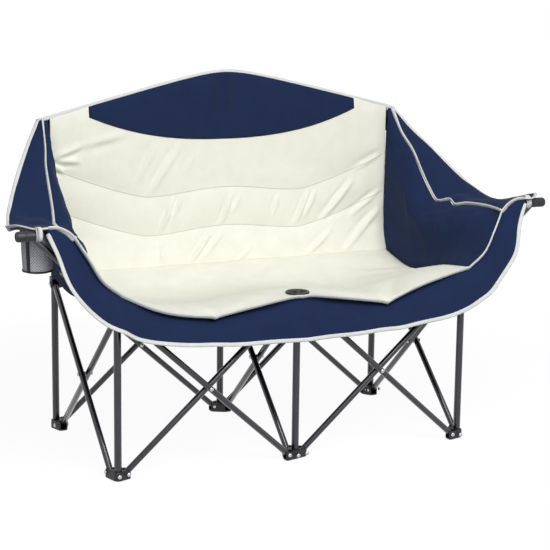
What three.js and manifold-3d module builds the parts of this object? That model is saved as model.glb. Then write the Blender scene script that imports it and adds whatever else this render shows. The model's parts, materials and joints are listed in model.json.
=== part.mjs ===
// Folding two-seat camping chair: a scissor frame of steel tubes and moulded joints, with a cloth bucket.
// Millimetres, +Z up. The chair faces -Y, and +X is on the right of someone who looks at its front.
import * as THREE from "three";
import Module from "manifold-3d";
import { mergeVertices } from "three/addons/utils/BufferGeometryUtils.js";

const wasm = await Module();
wasm.setup();

// Frame layout: three uprights across, two deep, and how far the scissor pivots rise.
const FOOT_PITCH = 490;
const FRAME_DEPTH = 500;
const PIVOT_RISE = 398;
const CORNER_POST_TOP = 850;
const MIDDLE_POST_TOP = 955;
const ARM_REACH = 331;

// Steel tubes.
const UPRIGHT_DIAMETER = 19;
const BAR_DIAMETER = 16;
const TUBE_WALL = 1;
const BAR_TAIL = 6;
const STEM_LENGTH = 245;
const TUBE_SIDES = 10;

// Rivets and washers.
const PIN_RADIUS = 2.5;
const HEAD_RADIUS = 5;
const HEAD_HEIGHT = 1.5;
const WASHER = 2;
const WASHER_RADIUS = 7;
const PIN_SIDES = 6;

// Clearances.
const FIT = 0.3;
const SLIDE_FIT = 0.6;
const BAR_PLAY = 0.5;

// Moulded feet and hubs.
const JOINT_WALL = 4.2;
const INNER_CHEEK = 5;
const OUTER_CHEEK = 4;
const EAR_TIP = 10;
const EAR_ROUND = 7;
const EAR_ABOVE_PIVOT = 9;
const JOINT_EDGE = 3;
const FOOT_SOLE = 4;
const PIVOT_SEAT = 1;
const HUB_ROOF = 3;
const SIDE_REACH_EXTRA = 5;
const STEM_SEAT = 3;
const ROUND_SIDES = 12;

// Arm caps and the button that holds the seat on the front middle hub.
const CAP_RADIUS = 13;
const CAP_OUTER_LENGTH = 35;
const CAP_INNER_LENGTH = 32;
const CAP_ROUND = 5;
const BUTTON_RADIUS = 31;
const BUTTON_RIM = 5;
const BUTTON_DOME = 3;
const BUTTON_STUD_RADIUS = 5;
const BUTTON_EDGE = 1;
const BUTTON_GROOVE = { from: 0.72, floorFrom: 0.66, floorTo: 0.4, to: 0.34, depth: 2 };

// Fabric: thicknesses, and the tape and piping on its edges.
const CLOTH = 3;
const PAD_THICKNESS = 20;
const SIDE_PAD_THICKNESS = 13;
const PIPING_RADIUS = 3;
const PIPING_SIDES = 6;
const POCKET_WALL = 1.5;
const POCKET_LENGTH = 55;

// Bucket: the places of its seams.
const BACK_HALF_WIDTH = 505;
const BACK_CORNER_RISE = 12;
const BACK_PEAK_RISE = 17;
const BACK_PEAK_ROUND = 0.15;
const SEAT_LIP = 36;
const SEAT_ABOVE_HUB = 11;
const CREASE_ABOVE_HUB = 13;
const CREASE_FORWARD = 22;
const SEAT_SAG = 24;
const SEAT_DIP = 35;
const SEAT_CORNER_RISE = 40;
const SEAT_SHOULDER_RISE = 6;
const SEAT_SLACK = 0.6;
const YOKE_HALF_WIDTH = 398;
const YOKE_DROP = 187;
const YOKE_END_HEIGHT = 32;
const CHANNEL_HEIGHTS = [84, 192];
const CHANNEL_SIDE_RISE = 92;
const CHANNEL_MIDDLE_RISE = 18;
const ARM_SEAM_HEIGHT = 183;
const ARM_SEAM_OUT = 110;
const ARM_SEAM_DIP = 19;
const SIDE_BULGE = 50;
const SHOULDER_WIDTH = 17;
const WING_DIP = 30;
const WING_TIP_BACK = 72;
const STRAP_INSET = 14;
const STRAP_RISE = 9;
const WING_CORNER_OUT = 31;
const SKIRT_HEIGHT = 108;
const SKIRT_FLARE = 48;
const SKIRT_TUCK = 10;
const SKIRT_FOLD = 4;
const SKIRT_FOLDS = 8;
const SKIRT_TIP_FORWARD = 8;
const SKIRT_TIP_RISE = 17;
const WING_SEWN = 0.37;

// How puffed padding fills out between its seams, and how finely each cloth piece is divided.
const SWELL_POWER = 0.8;
const SEAT_CELLS = [28, 10];
const BACK_CELLS = [28, 12];
const YOKE_CELLS = [22, 4];
const PANEL_CELLS = [10, 8];
const WING_CELLS = [16, 4];
const SKIRT_CELLS = [40, 3];
const UPPER_BINDING_STEPS = 60;
const SKIRT_BINDING_STEPS = 40;
const FRONT_PIPING_STEPS = 48;

// Cup holder under the left wing.
const CUP_RADIUS = 40;
const CUP_FOOT_RADIUS = 36;
const CUP_WALL = 2;
const CUP_DEPTH = 100;
const CUP_OUT = 178;
const CUP_BACK = 72;

// The least turn that keeps a corner of an outline, and the step that a slope is taken over.
const LEAST_TURN = 0.01;
const SLOPE_STEP = 1e-3;
const MERGE_WITHIN = 1e-3;

// The radius of a faceted bore that clears a round of a given radius all the way round.
const boreFor = (radius, sides) => (radius + FIT) / Math.cos(Math.PI / sides);

// Places that follow from the sizes above.
const uprightRadius = UPRIGHT_DIAMETER / 2;
const barRadius = BAR_DIAMETER / 2;
const stemRadius = uprightRadius - TUBE_WALL - SLIDE_FIT;
const barOffset = barRadius + WASHER / 2;
const barSweep = Math.hypot(BAR_TAIL, barRadius) + BAR_PLAY;
const socketRadius = uprightRadius + FIT + JOINT_WALL;
const reachAcross = socketRadius + barSweep;
const reachDeep = reachAcross + SIDE_REACH_EXTRA;
const footPivot = FOOT_SOLE + PIVOT_SEAT + barSweep;
const hubPivot = footPivot + PIVOT_RISE;
const hubBottom = hubPivot - barSweep - HUB_ROOF;
const hubTop = hubPivot + barSweep + HUB_ROOF;
const slotInner = barOffset - barRadius - BAR_PLAY;
const slotOuter = barOffset + barRadius + BAR_PLAY;
const pocketBore = boreFor(uprightRadius, ROUND_SIDES);
const pocketRadius = pocketBore + POCKET_WALL;
const backPlane = FRAME_DEPTH - pocketRadius - FIT - PAD_THICKNESS / 2;
const seamGap = CLOTH / 2 + FIT;
const pipingGap = PIPING_RADIUS + 3 * FIT;

const COLUMNS = { left: -FOOT_PITCH, middle: 0, right: FOOT_PITCH };
const ROWS = { front: 0, rear: FRAME_DEPTH };
const ACROSS = new THREE.Vector3(1, 0, 0);
const DEEP = new THREE.Vector3(0, 1, 0);
const UP = new THREE.Vector3(0, 0, 1);
const DOWN = UP.clone().negate();

const STEEL = new THREE.MeshStandardMaterial({ color: 0x3a3a42, roughness: 0.45, metalness: 0.6 });
const MOULDED = new THREE.MeshStandardMaterial({ color: 0x17171c, roughness: 0.55, metalness: 0 });
const RIVET = new THREE.MeshStandardMaterial({ color: 0xb9bcc2, roughness: 0.3, metalness: 1 });
const CREAM = new THREE.MeshStandardMaterial({ color: 0xf0efe6, roughness: 0.9, metalness: 0 });
const NAVY = new THREE.MeshStandardMaterial({ color: 0x24315a, roughness: 0.85, metalness: 0 });
const TAPE = new THREE.MeshStandardMaterial({ color: 0xeeeeec, roughness: 0.8, metalness: 0 });
const NET = new THREE.MeshStandardMaterial({ color: 0x9a9aa2, roughness: 0.9, metalness: 0 });

const chair = new THREE.Group();

// Adds one named piece to the chair.
function place(name, geometry, material, position = new THREE.Vector3()) {
  const mesh = new THREE.Mesh(geometry, material);
  mesh.name = name;
  mesh.position.copy(position);
  chair.add(mesh);
  return mesh;
}

// A closed geometry as a solid that can be cut and joined.
function solidOf(geometry) {
  const bare = new THREE.BufferGeometry();
  const loose = geometry.index ? geometry.toNonIndexed() : geometry;
  bare.setAttribute("position", loose.getAttribute("position"));
  const merged = mergeVertices(bare, MERGE_WITHIN);
  const vertProperties = merged.attributes.position.array;
  const triVerts = new Uint32Array(merged.index.array);
  return new wasm.Manifold(new wasm.Mesh({ numProp: 3, vertProperties, triVerts }));
}

// A cut or joined solid as a geometry again.
function geometryOf(solid) {
  const mesh = solid.getMesh();
  const geometry = new THREE.BufferGeometry();
  geometry.setAttribute("position", new THREE.BufferAttribute(mesh.vertProperties, 3));
  geometry.setIndex(new THREE.BufferAttribute(mesh.triVerts, 1));
  geometry.computeVertexNormals();
  return geometry;
}

// A shape turned round the Z axis, from its profile of radius and height.
function turned(profile, sides) {
  const points = profile.map(([radius, height]) => new THREE.Vector2(radius, height));
  return new THREE.LatheGeometry(points, sides).rotateX(Math.PI / 2);
}

// An open tube along +Z from the origin.
function tube(length, outer, inner) {
  const profile = [
    [inner, 0],
    [outer, 0],
    [outer, length],
    [inner, length],
    [inner, 0],
  ];
  return turned(profile, TUBE_SIDES);
}

// A round rod between two points, as a solid.
function rod(from, to, radius, sides = PIN_SIDES) {
  const along = to.clone().sub(from);
  const geometry = new THREE.CylinderGeometry(radius, radius, along.length(), sides);
  geometry.applyQuaternion(new THREE.Quaternion().setFromUnitVectors(DEEP, along.clone().normalize()));
  const middle = from.clone().add(to).divideScalar(2);
  return solidOf(geometry.translate(middle.x, middle.y, middle.z));
}

// A box between two opposite corners, as a solid.
function block(from, to) {
  const size = to.clone().sub(from);
  const middle = from.clone().add(to).divideScalar(2);
  const geometry = new THREE.BoxGeometry(Math.abs(size.x), Math.abs(size.y), Math.abs(size.z));
  return solidOf(geometry.translate(middle.x, middle.y, middle.z));
}

// The convex outline round a set of circles, each with x, y and r.
function outlineRound(circles) {
  const points = circles.flatMap(({ x, y, r }) =>
    Array.from({ length: ROUND_SIDES }, (_, i) => {
      const angle = (2 * Math.PI * i) / ROUND_SIDES;
      return new THREE.Vector2(x + r * Math.cos(angle), y + r * Math.sin(angle));
    }),
  );
  points.sort((a, b) => a.x - b.x || a.y - b.y);
  const half = (ordered) => {
    const chain = [];
    for (const p of ordered) {
      while (chain.length > 1) {
        const [a, b] = chain.slice(-2);
        const turn = (b.x - a.x) * (p.y - a.y) - (b.y - a.y) * (p.x - a.x);
        if (turn > LEAST_TURN) break;
        chain.pop();
      }
      chain.push(p);
    }
    return chain.slice(0, -1);
  };
  return new THREE.Shape([...half(points), ...half([...points].reverse())]);
}

// A block of an outline between two heights, with its edges broken.
function moulding(circles, bottom, top) {
  const geometry = new THREE.ExtrudeGeometry(outlineRound(circles), {
    depth: top - bottom - 2 * JOINT_EDGE,
    bevelThickness: JOINT_EDGE,
    bevelSize: JOINT_EDGE,
    bevelOffset: -JOINT_EDGE,
    bevelSegments: 2,
  });
  return solidOf(geometry.translate(0, 0, bottom + JOINT_EDGE));
}

// Where a bar leaves an upright: its direction, the axis of its pins, its reach and its side of the upright.
class Ear {
  constructor(direction, side) {
    this.direction = direction;
    this.lateral = new THREE.Vector3(Math.abs(direction.y), Math.abs(direction.x), 0);
    this.reach = direction.x ? reachAcross : reachDeep;
    this.side = side;
  }

  // A point at a distance along the bar's plan line, across it on the bar's own side, and at a height.
  at(along, across, height) {
    return this.direction
      .clone()
      .multiplyScalar(along)
      .addScaledVector(this.lateral, this.side * across)
      .setZ(height);
  }

  // The two rounded corners of the ear's tip.
  corners() {
    const along = this.reach + EAR_TIP - EAR_ROUND;
    const sides = [slotInner - INNER_CHEEK + EAR_ROUND, slotOuter + OUTER_CHEEK - EAR_ROUND];
    return sides.map((across) => {
      const { x, y } = this.at(along, across, 0);
      return { x, y, r: EAR_ROUND };
    });
  }

  // The slot that the bar swings in, between two heights.
  slot(bottom, top) {
    const beyond = this.reach + 2 * EAR_TIP;
    return block(
      this.at(this.reach - barSweep, slotInner, bottom),
      this.at(beyond, slotOuter, top),
    );
  }

  // The rivet through both cheeks.
  rivet(height) {
    const inner = slotInner - INNER_CHEEK;
    const outer = slotOuter + OUTER_CHEEK;
    const pin = rod(this.at(this.reach, inner, height), this.at(this.reach, outer, height), PIN_RADIUS);
    const from = this.at(this.reach, outer - HEAD_HEIGHT, height);
    const head = rod(from, this.at(this.reach, outer + HEAD_HEIGHT, height), HEAD_RADIUS);
    return pin.add(head);
  }

  // The space above the pivot that a bar sweeps when it runs on past its hub.
  passage(slope) {
    const above = 4 * EAR_TIP;
    const clear = barRadius + BAR_PLAY;
    const start = [this.reach - clear * Math.sin(slope), -clear * Math.cos(slope)];
    const outline = new THREE.Shape();
    outline.moveTo(...start);
    outline.lineTo(this.reach + clear, 0);
    outline.lineTo(this.reach + clear, above);
    outline.lineTo(start[0] - above / Math.tan(slope), start[1] + above);
    const width = slotOuter - slotInner;
    const geometry = new THREE.ExtrudeGeometry(outline, { depth: width, bevelEnabled: false });
    const across = this.direction.clone().cross(UP);
    geometry.applyMatrix4(new THREE.Matrix4().makeBasis(this.direction, UP, across));
    const inward = across.dot(this.lateral) * this.side;
    const near = this.at(0, inward > 0 ? slotInner : slotOuter, hubPivot);
    return solidOf(geometry.translate(near.x, near.y, near.z));
  }
}

// A foot: a boot with a socket for its upright, and slots for the bars that start in it.
function footGeometry(ears) {
  const circles = [{ x: 0, y: 0, r: socketRadius }, ...ears.flatMap((ear) => ear.corners())];
  const top = footPivot + EAR_ABOVE_PIVOT;
  let solid = moulding(circles, 0, top);
  const socketTop = new THREE.Vector3(0, 0, 2 * top);
  const socket = boreFor(uprightRadius, ROUND_SIDES);
  solid = solid.subtract(rod(new THREE.Vector3(0, 0, FOOT_SOLE), socketTop, socket, ROUND_SIDES));
  for (const ear of ears) solid = solid.subtract(ear.slot(footPivot - barSweep, 2 * top));
  for (const ear of ears) solid = solid.add(ear.rivet(footPivot));
  return geometryOf(solid);
}

// A hub: the ears that end the bars, on a sleeve for a rear post or a stem that slides in an upright.
function hubGeometry(ears, onPost, armEar, armSlope) {
  const circles = [{ x: 0, y: 0, r: socketRadius }, ...ears.flatMap((ear) => ear.corners())];
  let solid = moulding(circles, hubBottom, hubTop);
  const boreTop = onPost ? hubTop + HUB_ROOF : hubPivot + STEM_SEAT;
  const boreRadius = boreFor(onPost ? uprightRadius : stemRadius, ROUND_SIDES);
  const boreFoot = new THREE.Vector3(0, 0, hubBottom - HUB_ROOF);
  solid = solid.subtract(rod(boreFoot, new THREE.Vector3(0, 0, boreTop), boreRadius, ROUND_SIDES));
  for (const ear of ears) solid = solid.subtract(ear.slot(hubBottom - HUB_ROOF, hubPivot + barSweep));
  if (armEar) solid = solid.subtract(armEar.passage(armSlope));
  for (const ear of ears) solid = solid.add(ear.rivet(hubPivot));
  return geometryOf(solid);
}

// Every scissor: the columns and rows that it joins, and the side on which its first bar lies.
// The first bar runs from the foot of the first upright to the hub of the second, and the second bar back.
const SCISSORS = [
  { name: "front_left", a: ["middle", "front"], b: ["left", "front"], side: -1, arm: true },
  { name: "front_right", a: ["middle", "front"], b: ["right", "front"], side: 1, arm: true },
  { name: "rear_left", a: ["middle", "rear"], b: ["left", "rear"], side: -1 },
  { name: "rear_right", a: ["middle", "rear"], b: ["right", "rear"], side: 1 },
  { name: "left_side", a: ["left", "front"], b: ["left", "rear"], side: -1 },
  { name: "middle_side", a: ["middle", "front"], b: ["middle", "rear"], side: -1 },
  { name: "right_side", a: ["right", "front"], b: ["right", "rear"], side: 1 },
];

// An upright's place on the ground.
function standAt([column, row]) {
  return new THREE.Vector3(COLUMNS[column], ROWS[row], 0);
}

// The two bars of a scissor, each with its start, direction in plan, ears and length.
function barsOf(scissor) {
  const ends = [
    { from: scissor.a, to: scissor.b, side: scissor.side, role: scissor.arm ? "arm_bar" : "out_bar" },
    { from: scissor.b, to: scissor.a, side: -scissor.side, role: "back_bar" },
  ];
  return ends.map(({ from, to, side, role }) => {
    const start = standAt(from);
    const along = standAt(to).sub(start);
    const direction = along.clone().normalize();
    const footEar = new Ear(direction, side);
    const hubEar = new Ear(direction.clone().negate(), side);
    const span = along.length() - 2 * footEar.reach;
    return { name: `${scissor.name}_${role}`, from, to, start, direction, footEar, hubEar, span, role };
  });
}

const bars = SCISSORS.flatMap(barsOf);
const frontSlope = Math.atan2(PIVOT_RISE, FOOT_PITCH - 2 * reachAcross);

// A bar: a tube along local X from its foot pivot, its rivets along local Y.
function barGeometry(length, tail) {
  const whole = length + BAR_TAIL + tail;
  const geometry = tube(whole, barRadius, barRadius - TUBE_WALL).rotateY(Math.PI / 2);
  let solid = solidOf(geometry.translate(-BAR_TAIL, 0, 0));
  for (const x of [0, length / 2, length]) {
    const from = new THREE.Vector3(x, -BAR_DIAMETER, 0);
    const to = new THREE.Vector3(x, BAR_DIAMETER, 0);
    solid = solid.subtract(rod(from, to, boreFor(PIN_RADIUS, PIN_SIDES)));
  }
  return geometryOf(solid);
}

function addBars() {
  for (const bar of bars) {
    const length = Math.hypot(bar.span, PIVOT_RISE);
    const along = bar.direction.clone().multiplyScalar(bar.span).setZ(PIVOT_RISE).normalize();
    const lateral = bar.footEar.lateral;
    const basis = new THREE.Matrix4().makeBasis(along, lateral, along.clone().cross(lateral));
    const pivot = bar.start.clone().add(bar.footEar.at(bar.footEar.reach, barOffset, footPivot));
    const tail = bar.role === "arm_bar" ? ARM_REACH : BAR_TAIL;
    const mesh = place(bar.name, barGeometry(length, tail), STEEL, pivot);
    mesh.quaternion.setFromRotationMatrix(basis);
  }
}

// The rivet where a scissor's bars cross, with the washer between them.
function addCrossRivets() {
  const bar = barOffset + barRadius + FIT;
  const tip = bar + HEAD_HEIGHT;
  const washer = WASHER / 2 - FIT;
  const half = [
    [WASHER_RADIUS, washer],
    [PIN_RADIUS, washer],
    [PIN_RADIUS, bar],
    [HEAD_RADIUS, bar],
    [HEAD_RADIUS, tip],
    [0, tip],
  ];
  const mirrored = half.map(([radius, height]) => [radius, -height]).reverse();
  const geometry = turned([...mirrored, ...half], PIN_SIDES);
  for (const scissor of SCISSORS) {
    const middle = standAt(scissor.a).add(standAt(scissor.b)).divideScalar(2);
    middle.setZ(footPivot + PIVOT_RISE / 2);
    const mesh = place(`${scissor.name}_cross_rivet`, geometry, RIVET, middle);
    const lateral = scissor.a[1] === scissor.b[1] ? DEEP : ACROSS;
    mesh.quaternion.setFromUnitVectors(UP, lateral);
  }
}

// Uprights, feet, hubs and stems, one set at each corner and middle.
function addUprights() {
  for (const row of Object.keys(ROWS)) {
    for (const column of Object.keys(COLUMNS)) {
      const name = `${row}_${column}`;
      const ground = standAt([column, row]);
      const isHere = (place) => place[0] === column && place[1] === row;
      const footEars = bars.filter((bar) => isHere(bar.from)).map((bar) => bar.footEar);
      const ending = bars.filter((bar) => isHere(bar.to));
      const armBar = ending.find((bar) => bar.role === "arm_bar");
      const onPost = row === "rear";
      const postTop = column === "middle" ? MIDDLE_POST_TOP : CORNER_POST_TOP;
      const top = onPost ? postTop : hubBottom - FIT;
      const bottom = FOOT_SOLE + FIT;
      const upright = tube(top - bottom, uprightRadius, uprightRadius - TUBE_WALL);
      place(`${name}_${onPost ? "post" : "upright"}`, upright, STEEL, ground.clone().setZ(bottom));
      place(`${name}_foot`, footGeometry(footEars), MOULDED, ground);
      const hubEars = ending.map((bar) => bar.hubEar);
      place(`${name}_hub`, hubGeometry(hubEars, onPost, armBar?.hubEar, frontSlope), MOULDED, ground);
      if (!onPost) {
        const stem = tube(STEM_LENGTH, stemRadius, stemRadius - TUBE_WALL);
        place(`${name}_stem`, stem, STEEL, ground.clone().setZ(hubPivot + STEM_SEAT - FIT - STEM_LENGTH));
      }
    }
  }
}

// The end of an arm bar's axis, on the right side, in the plane of the uprights.
const armTip = new THREE.Vector3(
  FOOT_PITCH - reachAcross + ARM_REACH * Math.cos(frontSlope),
  0,
  hubPivot + ARM_REACH * Math.sin(frontSlope),
);

// A barrel cap with a rounded nose, bored for the end of its slanting bar.
function capGeometry() {
  const profile = [
    [0, -CAP_INNER_LENGTH],
    [CAP_RADIUS, -CAP_INNER_LENGTH],
    [CAP_RADIUS, CAP_OUTER_LENGTH - CAP_ROUND],
    [CAP_RADIUS - CAP_ROUND * (1 - Math.SQRT1_2), CAP_OUTER_LENGTH - CAP_ROUND * (1 - Math.SQRT1_2)],
    [CAP_RADIUS - CAP_ROUND, CAP_OUTER_LENGTH],
    [0, CAP_OUTER_LENGTH],
  ];
  const barrel = solidOf(turned(profile, ROUND_SIDES).rotateY(Math.PI / 2));
  const slope = new THREE.Vector3(Math.cos(frontSlope), 0, Math.sin(frontSlope));
  const inside = slope.clone().multiplyScalar(FIT);
  const outside = slope.clone().multiplyScalar(-2 * CAP_INNER_LENGTH);
  return geometryOf(barrel.subtract(rod(outside, inside, boreFor(barRadius, ROUND_SIDES), ROUND_SIDES)));
}

function addArmCaps() {
  const geometry = capGeometry();
  for (const [name, way] of [["left", -1], ["right", 1]]) {
    const at = new THREE.Vector3(way * armTip.x, way * barOffset, armTip.z);
    place(`${name}_arm_cap`, geometry, MOULDED, at).scale.x = way;
  }
}

// A smooth curve through points, sampled by its length.
function curve(...points) {
  const spline = new THREE.CatmullRomCurve3(points);
  return (t) => spline.getPointAt(THREE.MathUtils.clamp(t, 0, 1));
}

const at = (x, y, z) => new THREE.Vector3(x, y, z);
const mix = THREE.MathUtils.lerp;

// The smooth sheet that four edge curves span. Bottom and top run with u, left and right with v.
function sheetBetween(bottom, top, left, right) {
  return (u, v) => {
    const ruled = bottom(u).multiplyScalar(1 - v).addScaledVector(top(u), v);
    const crossed = left(v).multiplyScalar(1 - u).addScaledVector(right(v), u);
    const corners = bottom(0).multiplyScalar((1 - u) * (1 - v));
    corners.addScaledVector(bottom(1), u * (1 - v)).addScaledVector(top(0), (1 - u) * v);
    corners.addScaledVector(top(1), u * v);
    return ruled.add(crossed).sub(corners);
  };
}

// A sheet with its four edges drawn in by gaps, given as bottom, top, left and right.
function trimmed(sheet, [bottom, top, left, right]) {
  return (u, v) => {
    const across = sheet(0, v).distanceTo(sheet(1, v));
    const along = sheet(u, 0).distanceTo(sheet(u, 1));
    return sheet(mix(left / across, 1 - right / across, u), mix(bottom / along, 1 - top / along, v));
  };
}

// A sheet thickened to a closed solid. The thickness may vary, and half of it goes on each side,
// square to the sheet or along a given direction.
function thickened(sheet, columns, rows, thickness, direction) {
  const positions = [];
  const slopeOf = (u, v, du, dv) => {
    const from = sheet(Math.max(u - du, 0), Math.max(v - dv, 0));
    return sheet(Math.min(u + du, 1), Math.min(v + dv, 1)).sub(from);
  };
  for (const face of [1, -1]) {
    for (let j = 0; j <= rows; j++) {
      for (let i = 0; i <= columns; i++) {
        const [u, v] = [i / columns, j / rows];
        const square = slopeOf(u, v, SLOPE_STEP, 0).cross(slopeOf(u, v, 0, SLOPE_STEP)).normalize();
        const normal = direction ?? square;
        const point = sheet(u, v).addScaledVector(normal, (face * thickness(u, v)) / 2);
        positions.push(point.x, point.y, point.z);
      }
    }
  }
  const layer = (columns + 1) * (rows + 1);
  const id = (i, j) => j * (columns + 1) + i;
  const index = [];
  for (let j = 0; j < rows; j++) {
    for (let i = 0; i < columns; i++) {
      const [a, b, c, d] = [id(i, j), id(i + 1, j), id(i + 1, j + 1), id(i, j + 1)];
      index.push(a, b, c, a, c, d);
      index.push(layer + a, layer + c, layer + b, layer + a, layer + d, layer + c);
    }
  }
  const rim = [];
  for (let i = 0; i < columns; i++) rim.push(id(i, 0));
  for (let j = 0; j < rows; j++) rim.push(id(columns, j));
  for (let i = columns; i > 0; i--) rim.push(id(i, rows));
  for (let j = rows; j > 0; j--) rim.push(id(0, j));
  rim.forEach((p, n) => {
    const q = rim[(n + 1) % rim.length];
    index.push(p, layer + p, layer + q, p, layer + q, q);
  });
  const geometry = new THREE.BufferGeometry();
  geometry.setAttribute("position", new THREE.Float32BufferAttribute(positions, 3));
  geometry.setIndex(index);
  geometry.computeVertexNormals();
  return geometry;
}

// A round tape along a curve.
function piping(along, steps) {
  const section = new THREE.Shape();
  section.absarc(0, 0, PIPING_RADIUS, 0, 2 * Math.PI);
  const path = new THREE.Curve();
  path.getPoint = (t) => along(t);
  const options = { steps, curveSegments: PIPING_SIDES / 2, extrudePath: path, bevelEnabled: false };
  return new THREE.ExtrudeGeometry(section, options);
}

const swell = (t) => Math.max(Math.sin(Math.PI * t), 0) ** SWELL_POWER;

// Seams of the bucket on the right side. The left side mirrors them.
const seatLevel = hubTop + SEAT_ABOVE_HUB;
const crease = hubTop + CREASE_ABOVE_HUB;
const creaseDepth = backPlane - CREASE_FORWARD;
const backCornerTop = CORNER_POST_TOP + BACK_CORNER_RISE;
const backPeak = MIDDLE_POST_TOP + BACK_PEAK_RISE;
const seatCorner = at(FOOT_PITCH, -SEAT_LIP, seatLevel + SEAT_CORNER_RISE);
const creaseCorner = at(BACK_HALF_WIDTH, creaseDepth, crease);
const backCorner = at(BACK_HALF_WIDTH + seamGap, backPlane, backCornerTop - 2 * pipingGap);
const armSeamFront = at(FOOT_PITCH + ARM_SEAM_OUT, -SEAT_LIP / 3, seatLevel + ARM_SEAM_HEIGHT);
const wingStrap = at(armTip.x - STRAP_INSET, -SEAT_LIP / 3, armTip.z + CAP_RADIUS + STRAP_RISE);
const wingTip = at(armTip.x + CAP_OUTER_LENGTH, WING_TIP_BACK, wingStrap.z - STRAP_RISE);

const seatFront = curve(
  at(0, -SEAT_LIP, seatLevel),
  at(reachAcross + EAR_TIP, -SEAT_LIP, seatLevel),
  at(FOOT_PITCH * 0.3, -SEAT_LIP, seatLevel - SEAT_DIP * 0.5),
  at(FOOT_PITCH * 0.46, -SEAT_LIP, seatLevel - SEAT_DIP * 0.88),
  at(FOOT_PITCH * 0.5, -SEAT_LIP, seatLevel - SEAT_DIP),
  at(FOOT_PITCH * 0.54, -SEAT_LIP, seatLevel - SEAT_DIP * 0.82),
  at(FOOT_PITCH * 0.8, -SEAT_LIP, seatLevel + SEAT_SHOULDER_RISE),
  seatCorner,
);
const seatSide = curve(
  seatCorner,
  at(FOOT_PITCH + 2, FRAME_DEPTH * 0.08, seatLevel + SEAT_CORNER_RISE * 0.74),
  at(FOOT_PITCH + 5, FRAME_DEPTH * 0.2, seatLevel + SEAT_CORNER_RISE * 0.5),
  at(FOOT_PITCH + 8, FRAME_DEPTH * 0.32, seatLevel),
  at(FOOT_PITCH + 10, FRAME_DEPTH * 0.54, crease - SEAT_SAG),
  at(FOOT_PITCH + 13, FRAME_DEPTH * 0.7, crease - SEAT_SAG * 0.9),
  creaseCorner,
);
const armFront = curve(
  seatCorner,
  at(FOOT_PITCH + ARM_SEAM_OUT * 0.44, -SEAT_LIP * 0.95, mix(seatCorner.z, armSeamFront.z, 0.27)),
  at(FOOT_PITCH + ARM_SEAM_OUT * 0.75, -SEAT_LIP * 0.7, mix(seatCorner.z, armSeamFront.z, 0.68)),
  armSeamFront,
);
const backSide = curve(
  creaseCorner,
  at(BACK_HALF_WIDTH, backPlane, crease + CHANNEL_HEIGHTS[0]),
  at(BACK_HALF_WIDTH, backPlane, mix(crease, backCornerTop, 0.6)),
  backCorner,
);
const shoulder = backCorner.clone().add(at(SHOULDER_WIDTH, 0, 0));
const armSeam = curve(
  armSeamFront,
  at(armSeamFront.x + 4, FRAME_DEPTH * 0.06, armSeamFront.z),
  at(armSeamFront.x + 1, FRAME_DEPTH * 0.16, armSeamFront.z),
  at(armSeamFront.x - 23, FRAME_DEPTH * 0.38, armSeamFront.z - ARM_SEAM_DIP * 0.68),
  at(armSeamFront.x - 21, FRAME_DEPTH * 0.45, armSeamFront.z - ARM_SEAM_DIP * 0.2),
  at(armSeamFront.x - 35, FRAME_DEPTH * 0.535, armSeamFront.z - ARM_SEAM_DIP * 0.65),
  at(armSeamFront.x - 43, FRAME_DEPTH * 0.61, mix(armSeamFront.z, shoulder.z, 0.095)),
  at(armSeamFront.x - 48, FRAME_DEPTH * 0.69, mix(armSeamFront.z, shoulder.z, 0.285)),
  at(armSeamFront.x - 55, FRAME_DEPTH * 0.775, mix(armSeamFront.z, shoulder.z, 0.51)),
  at(armSeamFront.x - 67, FRAME_DEPTH * 0.865, mix(armSeamFront.z, shoulder.z, 0.71)),
  shoulder,
);
const wingFront = curve(
  armSeamFront,
  at(mix(armSeamFront.x, wingStrap.x, 0.2), wingStrap.y, mix(armSeamFront.z, wingStrap.z, 0.5)),
  at(mix(armSeamFront.x, wingStrap.x, 0.5), wingStrap.y, mix(armSeamFront.z, wingStrap.z, 0.84)),
  wingStrap,
  at(mix(wingStrap.x, wingTip.x, 0.7), mix(wingStrap.y, wingTip.y, 0.4), wingStrap.z),
  wingTip,
);
const wingCorner = backCorner.clone().add(at(WING_CORNER_OUT, SHOULDER_WIDTH * 0.65, 2 * pipingGap));
const wingEdge = curve(
  wingTip,
  at(wingTip.x - 21, FRAME_DEPTH * 0.255, wingTip.z - WING_DIP * 0.57),
  at(wingTip.x - 40, FRAME_DEPTH * 0.375, wingTip.z - WING_DIP),
  at(wingTip.x - 56, FRAME_DEPTH * 0.51, wingTip.z - WING_DIP * 0.4),
  at(wingTip.x - 81, FRAME_DEPTH * 0.625, mix(wingTip.z, wingCorner.z, 0.105)),
  at(wingTip.x - 124, FRAME_DEPTH * 0.77, mix(wingTip.z, wingCorner.z, 0.4)),
  at(wingTip.x - 170, FRAME_DEPTH * 0.895, mix(wingTip.z, wingCorner.z, 0.7)),
  wingCorner,
);
const skirtTip = at(
  mix(armSeamFront.x, wingStrap.x, 0.7),
  wingStrap.y - SKIRT_TIP_FORWARD,
  armSeamFront.z + SKIRT_TIP_RISE,
);
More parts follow.
